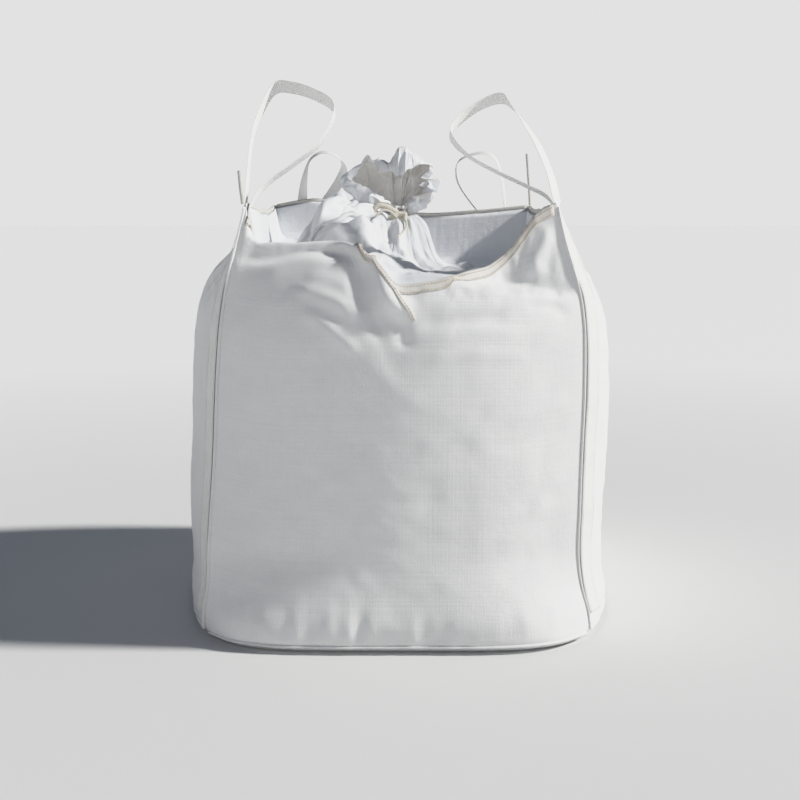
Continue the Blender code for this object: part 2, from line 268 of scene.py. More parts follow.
# the fill: heights where its wall is taken, then its dome as share of the shoulder and of the rise
FILL_CLEARANCE = 0.014
FILL_HEIGHTS = (0.006, 0.030, 0.100, 0.250, 0.450, 0.620, 0.720, 0.790)
FILL_DOME = ((0.97, 0.28), (0.90, 0.52), (0.78, 0.74), (0.60, 0.90), (0.34, 0.98), (0.03, 1.0))
FILL_TOP = 0.884

# the webbing at the front and rear corners: height where it leaves its panel, its end sewn inside
# (how far off the panel, lowest and highest point, number of points), how far off the panel the
# loop starts, which of the loop's points comes first, the sign that carries the strap's way across
# over into the loop's, and the heights between which it would bend when the loop swings
WEBBING_RUNS = {
    "front": (1.066, (-0.0040, 0.990, 1.060, 6), 0.0032, 0, -1.0, (1.072, 1.125)),
    "back": (0.935, (0.0052, 0.620, 0.930, 16), 0.0, 1, 1.0, (0.950, 1.020)),
}

# degrees by which each strap's edge away from the corner stands off its panel
STRAP_TURNS = {"front_left": 4, "front_right": 18, "back_left": 0, "back_right": 0}

# folds on the front: points (x, height), how proud, width on the lower and upper flank
FRONT_FOLDS = (
    (((-0.125, 0.985), (-0.074, 0.951), (-0.048, 0.907), (-0.026, 0.856), (0.036, 0.804)),
     0.021, 0.016, 0.028),
    (((-0.268, 0.893), (-0.200, 0.877), (-0.130, 0.852), (-0.065, 0.820)), 0.009, 0.022, 0.013),
    (((-0.250, 0.843), (-0.190, 0.812), (-0.140, 0.776), (-0.090, 0.738)), 0.008, 0.020, 0.013),
    (((-0.240, 0.912), (-0.150, 0.903), (-0.110, 0.885)), 0.004, 0.016, 0.014),
    (((-0.110, 0.950), (-0.090, 0.900), (-0.074, 0.843), (-0.027, 0.758)), -0.010, 0.024, 0.014),
    (((-0.020, 0.850), (0.005, 0.800), (0.012, 0.740)), -0.007, 0.022, 0.016),
    (((0.040, 0.806), (0.150, 0.815), (0.270, 0.826)), -0.004, 0.018, 0.012),
    (((0.300, 0.846), (0.370, 0.842), (0.420, 0.812)), -0.006, 0.012, 0.014),
    (((0.060, 0.770), (0.180, 0.786), (0.310, 0.775)), 0.003, 0.018, 0.018),
    (((0.040, 0.716), (0.160, 0.735), (0.330, 0.722)), 0.003, 0.020, 0.020),
    (((0.250, 0.560), (0.350, 0.590), (0.420, 0.610)), 0.003, 0.020, 0.020),
    (((0.200, 0.500), (0.330, 0.520), (0.430, 0.560)), -0.003, 0.018, 0.018),
    (((-0.440, 0.870), (-0.420, 0.915), (-0.402, 0.965), (-0.390, 1.020), (-0.386, 1.065)),
     0.014, 0.018, 0.010),
    (((0.375, 1.050), (0.352, 0.985), (0.333, 0.942), (0.338, 0.905)), 0.013, 0.020, 0.020),
    (((0.386, 1.055), (0.404, 0.960), (0.425, 0.885)), -0.011, 0.013, 0.013),
)

# the hem's section from its lower edge to the cut edge: distance from the cut edge, how far proud
HEM_SECTION = ((0.026, 0.0016), (0.020, 0.0018), (0.014, 0.0022), (0.007, 0.0022), (0.001, 0.0016))
HEM_TIP = 0.0030                # how far its fold stands past the cut edge
HEM_STITCHES = (0.006, 0.021)   # its two rows, from the cut edge
HEM_STITCH_RISE = 0.0024        # from the panel
TUCK_SECTION = (0.011, 0.0030)  # width and thickness of its tucked end

# what holds the front's slack wall in the simulation: the ledge left of the slump (across, height
# and hold), and the diagonal fold (across from the left and from the right, and hold)
LEDGE_PIN = ((0.05, -0.10), (0.985, 0.962), 0.75)
DIAGONAL_PIN = ((-0.34, -0.27), (0.10, 0.03), 0.9)
SLACK_HEIGHTS = (0.90, 0.80)    # above these every wall is slack, and below them the fill holds it
SEAM_HOLD = (5, 1)              # cells from a seam or strap over which its hold comes in

STITCH_LENGTH = 0.0062
STITCH_PITCH = 0.0085
STITCH_RADIUS = 0.0006
STITCH_RINGS = ((-0.5, 0.35), (-0.36, 1.0), (0.36, 1.0), (0.5, 0.35))   # place, share of radius

# the hem's loose end on the front, tucked under the diagonal fold: places (x, height)
HEM_TUCK = ((-0.014, 0.890), (0.004, 0.862), (0.021, 0.840), (0.035, 0.812))

CAMERA_PLACE = (0.017, -3.414, 1.061)
CAMERA_PITCH = 8.72
CAMERA_YAW = 0.33
CAMERA_LENS = 54.2

# the surround: height of its direction, colour
SURROUND = ((0.18, (0.80, 0.80, 0.80)), (0.25, (0.075, 0.09, 0.115)))
FLOOR_HALF = 120.0          # half the floor's side
# painted light on the floor: its colour darkens near the object and lightens far away, by distance
# from the middle
FLOOR_PAINTED_LIGHT = ((0.12, (0.70, 0.70, 0.70)), (0.80, (0.92, 0.92, 0.92)))

KEY_FROM = (1.0, -0.04, 0.72)
KEY_STRENGTH = 4.0
KEY_SOFTNESS = 5.0          # degrees
KEY_COLOUR = (1.0, 0.985, 0.95)

# the picture's highlight shoulder: scene brightness, brightness shown
HIGHLIGHTS = ((0.0, 0.0), (0.70, 0.70), (0.90, 0.80), (1.30, 0.87), (1.85, 0.94), (2.60, 1.0))


# ---------------------------------------------------------------- curves and surfaces


def smooth_value(x, knots):
    """A smooth curve through knots, each of them x and then any number of values."""
    table = np.array(knots, dtype=float)
    places, values = table[:, 0], table[:, 1:]
    slopes = np.gradient(values, places, axis=0)
    x = np.asarray(x, dtype=float)
    i = np.clip(np.searchsorted(places, x) - 1, 0, len(places) - 2)
    span = places[i + 1] - places[i]
    t = np.clip((x - places[i]) / span, 0, 1)[..., None]
    span = span[..., None]
    start = (2 * t**3 - 3 * t**2 + 1) * values[i] + (t**3 - 2 * t**2 + t) * span * slopes[i]
    end = (3 * t**2 - 2 * t**3) * values[i + 1] + (t**3 - t**2) * span * slopes[i + 1]
    return start + end


def smooth_route(points, steps):
    """Points along a Catmull-Rom curve through the given points, with so many steps a span."""
    given = [np.array(p, dtype=float) for p in points]
    padded = [2 * given[0] - given[1], *given, 2 * given[-1] - given[-2]]
    route = []
    for a, b, c, d in zip(padded, padded[1:], padded[2:], padded[3:]):
        for t in np.arange(steps) / steps:
            route.append(
                0.5 * (2 * b + (c - a) * t + (2 * a - 5 * b + 4 * c - d) * t**2
                       + (3 * b - a - 3 * c + d) * t**3)
            )
    route.append(given[-1])
    return np.array(route)


def ease(low, high, x):
    """0 below low, 1 above high, smooth in between."""
    t = np.clip((np.asarray(x, dtype=float) - low) / (high - low), 0, 1)
    return t * t * (3 - 2 * t)


def unit(vectors):
    """The vectors, each one metre long."""
    length = np.linalg.norm(vectors, axis=-1, keepdims=True)
    return vectors / np.maximum(length, 1e-9)


def lean(points):
    """The points, moved as the front corners of the standing bag have moved."""
    points = np.array(points, dtype=float)
    x, y, z = np.moveaxis(points, -1, 0)
    near = ease(*LEAN_DEPTH, y)
    left = smooth_value(z, LEFT_LEAN)[..., 0] * ease(*LEAN_LEFT, x)
    right = smooth_value(z, RIGHT_LEAN)[..., 0] * ease(*LEAN_RIGHT, x)
    points[..., 0] += (left + right) * near
    points[..., 2] -= LOOP_SETTLE * ease(*LOOP_HEIGHTS, z) * near
    return points


def lengths_along(points):
    """Distance along a polyline at each of its points."""
    steps = np.linalg.norm(np.diff(points, axis=0), axis=1)
    return np.concatenate([[0.0], np.cumsum(steps)])


def interpolate(wanted, places, values):
    """Rows of values at the wanted places, or one row at one place."""
    return np.stack([np.interp(wanted, places, axis) for axis in values.T], axis=-1)


def resample(points, count):
    """count + 1 points, evenly spaced along a polyline."""
    along = lengths_along(points)
    return interpolate(np.linspace(0, along[-1], count + 1), along, points)


def rough(shape, cells, seed):
    """Smooth noise of about unit size on a ring grid, with so many cells around and up."""
    draw = np.random.default_rng(seed)
    knots = draw.normal(size=(cells[0], cells[1] + 3))
    x = np.arange(shape[0]) / shape[0] * cells[0]
    y = np.arange(shape[1]) / (shape[1] - 1) * cells[1]
    i, j = np.floor(x).astype(int), np.floor(y).astype(int)
    s, t = ease(0, 1, x - i)[:, None], ease(0, 1, y - j)[None, :]
    after = (i + 1) % cells[0]
    low, high = (knots[i][:, row] * (1 - s) + knots[after][:, row] * s for row in (j, j + 1))
    return low * (1 - t) + high * t


def grid_normals(grid):
    """Outward normals of a closed ring grid of points."""
    around = np.roll(grid, -1, axis=0) - np.roll(grid, 1, axis=0)
    up = np.gradient(grid, axis=1)
    return unit(np.cross(around, up))


def fold_field(x, z, folds):
    """How proud of the plain surface a set of folds stands at points (x, z)."""
    total = np.zeros_like(x)
    for points, proud, low_width, high_width in folds:
        line = smooth_route(points, 6)
        best = np.full(x.shape, 1e9)
        side = np.zeros_like(x)
        share = np.zeros_like(x)
        for k, (a, b) in enumerate(zip(line, line[1:])):
            run = b - a
            t = np.clip(((x - a[0]) * run[0] + (z - a[1]) * run[1]) / (run @ run), 0, 1)
            dx, dz = x - a[0] - t * run[0], z - a[1] - t * run[1]
            apart = np.hypot(dx, dz)
            nearer = apart < best
            best = np.where(nearer, apart, best)
            side = np.where(nearer, run[0] * dz - run[1] * dx, side)
            share = np.where(nearer, (k + t) / (len(line) - 1), share)
        width = np.where(side > 0, high_width, low_width)
        taper = ease(0, 0.25, share) * ease(1.0, 0.8, share)
        total += proud * taper * np.exp(-((best / width) ** 2))
    return total


# ---------------------------------------------------------------- the filled body


def rim_height(side, across):
    """Height of a panel's cut edge at a place across it, from -1 at its left to 1."""
    if side == "front":
        places, heights = zip(*FRONT_RIM)
        offsets = (-RIM_BLUR, 0, RIM_BLUR) if abs(across) < 0.97 else (0,)
        return float(np.mean([np.interp(across + offset, places, heights) for offset in offsets]))
    if side == "back":
        return float(smooth_value(across, BACK_RIM)[0])
    ripple = 0.0022 * math.sin(9 * across + 1) * (1 - across**2)
    return RIM_TIP_HEIGHT - RIM_SAG * (1 - across**2) + ripple


def wall_reach(side, across, height):
    """How far out a side panel stands at a place across it and at heights."""
    corner = smooth_value(height, BODY_FORM)[:, 0]
    lift = SHOULDER_LIFTS[side] * ease(*SHOULDER_RISE, height) * ease(*SHOULDER_FALL, height)
    bulge = smooth_value(height - lift, BODY_FORM)[:, 1]
    if side == "front":
        shoulder = float(smooth_value(across, FRONT_SHOULDER)[0])
        filled = np.interp(height, *zip(*FRONT_BULGE))
        overhang = FREE_WALL_LEAN * (height - shoulder) * float(ease(*LEANING_WALL, across))
        slump = float(ease(*SLUMP_LEFT, across) * ease(*SLUMP_RIGHT, across))
        wall = FREE_WALL_BULGE + SLUMP_BULGE * slump + np.maximum(overhang, 0)
        step = ease(*(shoulder + offset for offset in SHOULDER_STEP), height)
        top = filled * (1 - step) + wall * step
        bulge = np.where(height > FRONT_BULGE[0][0], top, bulge)
    squarer, push = FEET[side]
    foot = ease(*FOOT_RISE, height)
    return corner + (bulge + push * foot) * (1 - abs(across) ** (2 + squarer * foot))


def wall_profile(side, across):
    """One column of a side panel from foot to cut edge: how far out, height."""
    height = np.linspace(PANEL_FOOT, rim_height(side, across), 260)
    profile = np.stack([wall_reach(side, across, height), height], axis=1)
    turned_over = float(ease(*FLAP_LEFT, across) * ease(*FLAP_RIGHT, across))
    if side != "front" or turned_over < 0.01:
        return profile
    flap = np.array(FRONT_FLAP) * turned_over
    return np.vstack([profile, profile[-1] + flap * (-1, 1)])


def body_grid():
    """The ring of side panels, from the front left corner on: points, and their weave places."""
    columns, weave = [], []
    for side, (facing, along) in SIDES.items():
        facing, along = np.array(facing, float), np.array(along, float)
        for i in range(COLUMNS):
            across = 2 * i / COLUMNS - 1
            profile = resample(wall_profile(side, across), ROWS)
            spread = smooth_value(profile[:, 1], BODY_FORM)[:, :1] * across
            points = along * spread + facing * profile[:, :1]
            points[:, 2] = profile[:, 1]
            columns.append(points)
            places = np.full(ROWS + 1, across * PANEL_WIDTH / 2)
            weave.append(np.stack([places, lengths_along(profile)], axis=1))
    return lean(columns), np.array(weave)


def side_columns(side):
    """The ring's columns that belong to a side, with the next corner's as the last."""
    first = list(SIDES).index(side) * COLUMNS
    return [(first + i) % (4 * COLUMNS) for i in range(COLUMNS + 1)]


def plain_folds(seed):
    """Wrinkles that spread from a side's two upper corners, and long faint creases below."""
    draw = np.random.default_rng(seed)
    wrinkles, creases = [], []
    for end in (-1, 1):
        for angle in np.linspace(12, 74, 6):
            turn = math.radians(angle + draw.uniform(-5, 5))
            start, stop = draw.uniform(0.05, 0.10), draw.uniform(0.20, 0.34)
            line = [
                (end * (0.425 - s * math.sin(turn)), 1.02 - s * math.cos(turn))
                for s in np.linspace(start, stop, 4)
            ]
            proud = draw.uniform(0.002, 0.005) * draw.choice((-1, 1))
            wrinkles.append((line, proud, draw.uniform(0.012, 0.022), draw.uniform(0.010, 0.018)))
    for _ in range(9):
        x, z = draw.uniform(-0.33, 0.33), draw.uniform(0.10, 0.82)
        half, tilt = draw.uniform(0.08, 0.16), draw.uniform(-0.12, 0.12)
        line = [(x + half * s, z + half * s * tilt) for s in (-1, 0, 1)]
        creases.append((line, draw.uniform(-0.0022, 0.0022), 0.020, 0.020))
    return wrinkles, creases


def crease_body(grid):
    """The folds and unevenness that the fill and the handling have pressed into the panels."""
    proud = np.zeros(grid.shape[:2])
    height = grid[..., 2]
    across = 2 * np.arange(COLUMNS) / COLUMNS - 1
    free = (1 - across**8)[:, None]
    for k, (side, (_, along)) in enumerate(SIDES.items()):
        part = slice(k * COLUMNS, (k + 1) * COLUMNS)
        wrinkles, creases = plain_folds(30 + k)
        folds = [*creases, *FRONT_FOLDS] if side == "front" else [*wrinkles, *creases]
        x = grid[part] @ np.array(along, float)
        proud[part] += fold_field(x, height[part], folds) * free * RELIEF[side]
    uneven = 0.0016 * rough(proud.shape, (26, 7), 3) + 0.0007 * rough(proud.shape, (90, 26), 4)
    uneven *= np.repeat([RELIEF[side] for side in SIDES], COLUMNS)[:, None]
    pucker = 0.0025 * rough(proud.shape, (150, 12), 5) * ease(0.16, 0.03, height)
    foot = ease(0.0, 0.05, height)
    proud += (uneven + pucker) * foot * ease(0, 8, np.abs(corner_distance()))[:, None]
    on_floor = height < 0.004
    return grid + grid_normals(grid) * np.where(on_floor, 0, proud)[..., None]


def corner_distance():
    """For each column of the ring, how many cells it is from the nearest corner."""
    place = np.arange(4 * COLUMNS) % COLUMNS
    return np.minimum(place, COLUMNS - place)


# ---------------------------------------------------------------- cloth


def relax(grid, pin, growth, frames, cap, weight):
    """Cloth simulation of a closed ring grid. pin is 1 where a point is held, growth the share by
    which the free cloth is longer than its place, and no point moves further than cap."""
    mesh = bpy.data.meshes.new("cloth")
    mesh.from_pydata(grid.reshape(-1, 3).tolist(), [], grid_faces(*grid.shape[:2], True).tolist())
    cloth_object = bpy.data.objects.new("cloth", mesh)
    scene = bpy.context.scene
    scene.collection.objects.link(cloth_object)
    held = cloth_object.vertex_groups.new(name="held")
    levels = np.round(np.clip(pin, 0, 1).reshape(-1), 2)
    for level in np.unique(levels):
        held.add(np.nonzero(levels == level)[0].tolist(), float(level), "REPLACE")
    cloth = cloth_object.modifiers.new("cloth", "CLOTH")
    settings = cloth.settings
    settings.quality = 5
    settings.mass = 0.02
    settings.tension_stiffness = 12.0
    settings.compression_stiffness = 12.0
    settings.shear_stiffness = 6.0
    settings.bending_stiffness = 0.02
    settings.air_damping = 4
    settings.vertex_group_mass = "held"
    settings.pin_stiffness = 10
    settings.shrink_min = -growth
    settings.effector_weights.gravity = weight
    cloth.collision_settings.use_collision = False
    cloth.collision_settings.use_self_collision = False
    cloth.point_cache.frame_start = 1
    cloth.point_cache.frame_end = frames
    for number in range(1, frames + 1):
        scene.frame_set(number)
    solved = cloth_object.evaluated_get(bpy.context.evaluated_depsgraph_get())
    moved = np.zeros(grid.size)
    solved.data.vertices.foreach_get("co", moved)
    scene.frame_set(1)
    bpy.data.objects.remove(cloth_object, do_unlink=True)
    bpy.data.meshes.remove(mesh)
    shift = moved.reshape(grid.shape) - grid
    size = np.linalg.norm(shift, axis=-1, keepdims=True)
    return grid + shift * np.minimum(1.0, cap / np.maximum(size, 1e-9))


def relax_body(grid):
    """The slack upper walls hang and buckle, while the fill holds the rest of each panel and the
    sewn straps, the front's ledge on the left and its diagonal fold keep their places."""
    first = int(ROWS * 0.60)
    top = grid[:, first:]
    height = top[..., 2]
    pin = ease(*SLACK_HEIGHTS, height) * 0.97
    from_seam = np.minimum(corner_distance(), 4.0)
    for side, end, setback in STRAPS.values():
        seam = side_columns(side)[COLUMNS if end == 1 else 0]
        for step in range(int((setback + 0.04) / CELL_WIDTH) + 1):
            from_seam[(seam - end * step) % len(grid)] = 0
    pin = np.maximum(pin, ease(*SEAM_HOLD, from_seam)[:, None])
    across = 2 * np.arange(COLUMNS)[:, None] / COLUMNS - 1
    places, heights, hold = LEDGE_PIN
    ledge = hold * ease(*places, across) * ease(*heights, height[:COLUMNS])
    left, right, hold = DIAGONAL_PIN
    diagonal = hold * (ease(*left, across) * ease(*right, across))
    pin[:COLUMNS] = np.maximum(pin[:COLUMNS], np.maximum(ledge, diagonal))
    pin[:, 0] = 1
    relaxed = relax(top, pin, growth=0.018, frames=22, cap=0.022, weight=0.25)
    return np.concatenate([grid[:, :first], relaxed], axis=1)


# ---------------------------------------------------------------- making meshes


def new_piece(name, points, faces, looks, weave=None, smooth=True):
    """A mesh object. looks is a list of materials, and weave its points' places in the cloth."""
    mesh = bpy.data.meshes.new(name)
    mesh.from_pydata(np.asarray(points).tolist(), [], [tuple(face) for face in faces])
    mesh.update()
    if weave is not None:
        layer = mesh.attributes.new("weave", "FLOAT_VECTOR", "POINT")
        flat = np.zeros((len(points), 3))
        flat[:, :2] = weave
        layer.data.foreach_set("vector", flat.reshape(-1))
    mesh.polygons.foreach_set("use_smooth", [smooth] * len(mesh.polygons))
    for look in looks:
        mesh.materials.append(look)
    piece = bpy.data.objects.new(name, mesh)
    bpy.context.scene.collection.objects.link(piece)
    return piece


def settle(piece, body, slot, *nodes):
    """The piece rides on a body and stands for CAD nodes, which it hides. slot is not used."""
    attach(piece, body)
    if nodes:
        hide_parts(*nodes)
    return piece


def grid_faces(around, up, closed):
    """The faces of a grid of points, which is joined to a ring where it is closed."""
    index = np.arange(around * up).reshape(around, up)
    after = np.roll(index, -1, axis=0)
    quads = np.stack([index[:, :-1], after[:, :-1], after[:, 1:], index[:, 1:]], axis=-1)
    return quads[: around if closed else around - 1].reshape(-1, 4)


def tube_faces(count, around):
    """The walls of a tube of count rings, and then its two ends."""
    index = np.arange(count * around).reshape(count, around)
    after = np.roll(index, -1, axis=1)
    walls = np.stack([index[:-1], after[:-1], after[1:], index[1:]], axis=-1).reshape(-1, 4)
    return [*walls.tolist(), index[0][::-1].tolist(), index[-1].tolist()]


def grid_piece(name, grid, looks, weave, closed=False, thickness=FABRIC, subdivide=1):
    """A sheet on a grid of points, with its drawn face outside and its thickness inward. looks
    has one material, or the outer and the inner face's."""
    piece = new_piece(
        name, grid.reshape(-1, 3), grid_faces(*grid.shape[:2], closed), looks, weave.reshape(-1, 2)
    )
    shell = piece.modifiers.new("thickness", "SOLIDIFY")
    shell.material_offset = len(looks) - 1
    shell.thickness = thickness
    shell.offset = -1
    if subdivide:
        smooth = piece.modifiers.new("smooth", "SUBSURF")
        smooth.levels = subdivide
        smooth.render_levels = subdivide
    return piece


def sweep(name, centres, sides, ups, outline, look):
    """An outline of (a, b) offsets carried along centres: a goes along sides and b along ups."""
    outline = np.array(outline, dtype=float)
    count, around = len(centres), len(outline)
    points = (
        centres[:, None]
        + sides[:, None] * outline[None, :, :1]
        + ups[:, None] * outline[None, :, 1:]
    )
    places = [np.tile(outline[:, 0], count), np.repeat(lengths_along(centres), around)]
    weave = np.stack(places, axis=1)
    return new_piece(name, points.reshape(-1, 3), tube_faces(count, around), [look], weave)


def ellipse(half_width, half_thick, count=12):
    """The outline of an ellipse, as offsets."""
    turns = [2 * math.pi * i / count for i in range(count)]
    return [(half_width * math.cos(t), half_thick * math.sin(t)) for t in turns]


def band_outline(width, thickness):
    """A flat band's section, slightly crowned, with thin edges."""
    across = np.linspace(-1, 1, 9)
    half = thickness / 2 * (1 - 0.45 * np.abs(across) ** 6)
    top = [(width / 2 * a, h) for a, h in zip(across, half)]
    return top[::-1] + [(a, -h) for a, h in top]


def frames_along(points, hint):
    """Unit side and up vectors along a route, with the side vectors kept near the hint."""
    tangents = unit(np.gradient(points, axis=0))
    hint = np.broadcast_to(np.asarray(hint, float), points.shape)
    sides = unit(hint - tangents * np.sum(hint * tangents, axis=1, keepdims=True))
    return sides, np.cross(tangents, sides)


def add_stitches(name, runs, look):
    """Short proud stitches on the bag, each run being points on the cloth and its normals."""
    points, faces = [], []
    for line, normals in runs:
        along = lengths_along(line)
        last_start = along[-1] - STITCH_PITCH / 2
        for middle in np.arange(STITCH_PITCH / 2, last_start, STITCH_PITCH):
            low, high = (
                interpolate(middle + share * STITCH_LENGTH, along, line) for share in (-0.5, 0.5)
            )
            out = unit(interpolate(middle, along, normals))
            run = high - low
            side = unit(np.cross(run, out))
            first = len(points)
            for place, share in STITCH_RINGS:
                for turn in np.arange(4) * math.pi / 2:
                    offset = side * math.cos(turn) + out * math.sin(turn)
                    points.append((low + high) / 2 + run * place + offset * STITCH_RADIUS * share)
            for face in tube_faces(len(STITCH_RINGS), 4):
                faces.append([first + corner for corner in face])
    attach(new_piece(name, points, faces, [look]), "bag")


# ---------------------------------------------------------------- materials

# each ramp: noise value, colour
BODY_SHADES = (
    (0.30, (0.75, 0.755, 0.765)), (0.50, (0.81, 0.812, 0.815)), (0.72, (0.85, 0.85, 0.845)),
)
SKIRT_SHADES = (
    (0.30, (0.74, 0.76, 0.80)), (0.50, (0.80, 0.815, 0.845)), (0.72, (0.85, 0.855, 0.87)),
)
# painted light: the tail's inner face is a brighter, warmer copy of the skirt fabric, standing in for
# warm bounce light in its shaded inside
INSIDE_PAINTED_BOUNCE_SHADES = ((0.30, (0.90, 0.87, 0.83)), (0.50, (0.94, 0.92, 0.89)), (0.72, (0.96, 0.95, 0.93)))
WEBBING_SHADES = (
    (0.25, (0.76, 0.75, 0.72)), (0.55, (0.84, 0.84, 0.82)), (0.90, (0.88, 0.88, 0.86)),
)
HEM_SHADES = ((0.28, (0.70, 0.63, 0.53)), (0.46, (0.83, 0.80, 0.74)), (0.70, (0.88, 0.87, 0.83)))
THREAD_SHADES = ((0.35, (0.72, 0.70, 0.66)), (0.65, (0.86, 0.85, 0.82)))
BROWN_SHADES = ((0.35, (0.33, 0.19, 0.10)), (0.65, (0.52, 0.34, 0.20)))
TIE_SHADES = ((0.3, (0.62, 0.55, 0.42)), (0.7, (0.86, 0.83, 0.74)))
TAPE_SHADES = ((0.3, (0.52, 0.50, 0.46)), (0.7, (0.72, 0.70, 0.66)))
PRODUCT_SHADES = ((0.4, (0.58, 0.53, 0.45)), (0.9, (0.80, 0.76, 0.68)))


class Looks:
    """A Principled material with helpers that add and join nodes."""

    def __init__(self, name, roughness, specular=0.4, sheen=0.0):
        self.material = bpy.data.materials.new(name)
        self.material.use_nodes = True
        self.tree = self.material.node_tree
        self.shader = self.tree.nodes["Principled BSDF"]
        self.shader.inputs["Roughness"].default_value = roughness
        self.shader.inputs["Specular IOR Level"].default_value = specular
        self.shader.inputs["Sheen Weight"].default_value = sheen

    def add(self, kind, settings=(), **links):
        node = self.tree.nodes.new(kind)
        for name, value in dict(settings).items():
            if name in node.inputs:
                node.inputs[name].default_value = value
            else:
                setattr(node, name, value)
        for name, source in links.items():
            self.tree.links.new(source, node.inputs[name])
        return node

    def math(self, operation, first, second=0.0):
        node = self.tree.nodes.new("ShaderNodeMath")
        node.operation = operation
        for socket, value in zip(node.inputs, (first, second)):
            if isinstance(value, (int, float)):
                socket.default_value = value
            else:
                self.tree.links.new(value, socket)
        return node.outputs[0]

    def total(self, *parts):
        """The sum of values, each of them alone or with its weight."""
        parts = [self.math("MULTIPLY", *part) if isinstance(part, tuple) else part for part in parts]
        result = parts[0]
        for part in parts[1:]:
            result = self.math("ADD", result, part)
        return result

    def wave(self, value, length):
        """A sine over the value, with so many metres to a wave."""
        return self.math("SINE", self.math("MULTIPLY", value, 2 * math.pi / length))

    def place(self):
        """The piece's own coordinates in metres."""
        return self.add("ShaderNodeTexCoord").outputs["Object"]

    def weave_axes(self):
        """The cloth's own coordinates in metres, whole and then across and along it."""
        place = self.add("ShaderNodeAttribute", {"attribute_name": "weave"}).outputs["Vector"]
        return place, *self.add("ShaderNodeSeparateXYZ", Vector=place).outputs[:2]

    def noise(self, vector, scale, detail=4.0, roughness=0.55):
        settings = {"Scale": scale, "Detail": detail, "Roughness": roughness}
        return self.add("ShaderNodeTexNoise", settings, Vector=vector).outputs["Fac"]

    def stretched(self, vector, scale):
        return self.add("ShaderNodeMapping", {"Scale": scale}, Vector=vector).outputs["Vector"]

    def tint(self, value, stops):
        ramp = self.add("ShaderNodeValToRGB", Fac=value)
        set_ramp(ramp, stops)
        self.tree.links.new(ramp.outputs["Color"], self.shader.inputs["Base Color"])

    def bump(self, height, distance, strength=1.0):
        settings = {"Distance": distance, "Strength": strength}
        node = self.add("ShaderNodeBump", settings, Height=height)
        self.tree.links.new(node.outputs["Normal"], self.shader.inputs["Normal"])


def set_ramp(ramp, stops):
    """Give a colour ramp its stops, each of them place and colour."""
    elements = ramp.color_ramp.elements
    while len(elements) < len(stops):
        elements.new(0.5)
    for element, (place, colour) in zip(elements, stops):
        element.position = place
        element.color = (*colour, 1)


def plain_weave(look, across, along, tape):
    """Height of flat tapes passing over and under each other, tape metres wide."""
    over, under = look.wave(across, 2 * tape), look.wave(along, 2 * tape)
    checks = look.math("MULTIPLY", over, under)
    edges = look.math("MULTIPLY", look.math("ABSOLUTE", over), look.math("ABSOLUTE", under))
    return look.total((checks, 0.5), (edges, 0.5))


def fabric_look(name, tape, shades, roughness, crinkle):
    """Woven polypropylene tape fabric: tapes, faint streaks along them and a slight mottle."""
    look = Looks(name, roughness, specular=0.35, sheen=0.10)
    place, across, along = look.weave_axes()
    tapes = plain_weave(look, across, along, tape)
    streaks = look.noise(look.stretched(place, (3.0, 130.0, 1.0)), 1.0, 3.0)
    threads = look.noise(look.stretched(place, (230.0, 5.0, 1.0)), 1.0, 2.0)
    mottle = look.noise(place, 9.0, 5.0)
    lines = look.total((streaks, 0.6), (threads, 0.4))
    look.tint(look.total((lines, 0.5), (mottle, 0.5), (tapes, 0.05)), shades)
    creases = look.noise(place, 34.0, 6.0, 0.6)
    look.bump(look.total((tapes, 0.30), (lines, 0.9), (creases, crinkle)), 0.0012)
    return look.material


def webbing_look():
    """Zigzag-woven polypropylene webbing."""
    look = Looks("webbing_weave", 0.55, sheen=0.15)
    place, across, along = look.weave_axes()
    zigzag = look.math("PINGPONG", across, 0.0084)
    ribs = look.wave(look.total(along, (zigzag, 1.6)), 0.0062)
    ridges = look.wave(across, 0.0021)
    look.tint(look.total((ribs, 0.10), look.noise(place, 22.0, 5.0)), WEBBING_SHADES)
    look.bump(look.total((ribs, 0.5), (ridges, 0.2)), 0.0002, 0.06)
    return look.material


def hem_look():
    """The cream folded hem tape, a little soiled where hands have held it."""
    look = Looks("hem_tape_weave", 0.65, sheen=0.2)
    place, _, along = look.weave_axes()
    ribs = look.wave(along, 0.0026)
    soil = look.noise(place, 14.0, 6.0, 0.65)
    look.tint(look.total((ribs, 0.05), soil), HEM_SHADES)
    look.bump(look.total(ribs, (soil, 3.0)), 0.0004)
    return look.material


def cord_look(name, shades):
    """Twisted or woven cord whose strands slant round it."""
    look = Looks(name, 0.6, sheen=0.2)
    place = look.place()
    parts = look.add("ShaderNodeSeparateXYZ", Vector=place).outputs
    strands = look.wave(look.total(parts[2], (parts[0], 0.8)), 0.0022)
    fuzz = look.noise(place, 240.0, 4.0)
    look.tint(look.total((strands, 0.15), fuzz), shades)
    look.bump(look.total(strands, fuzz), 0.0003)
    return look.material


def thread_look(name, roughness, scale, detail, shades):
    """Fuzzy sewing thread."""
    look = Looks(name, roughness)
    fuzz = look.noise(look.place(), scale, detail)
    look.tint(fuzz, shades)
    look.bump(fuzz, 0.0002)
    return look.material


def product_look():
    """The granular fill, which only shows where the cover is lifted."""
    look = Looks("bulk_granules", 0.85)
    place = look.place()
    grains = look.add("ShaderNodeTexVoronoi", {"Scale": 260.0}, Vector=place).outputs["Distance"]
    look.tint(look.total((grains, 0.5), look.noise(place, 18.0, 5.0)), PRODUCT_SHADES)
    look.bump(grains, 0.002)
    return look.material


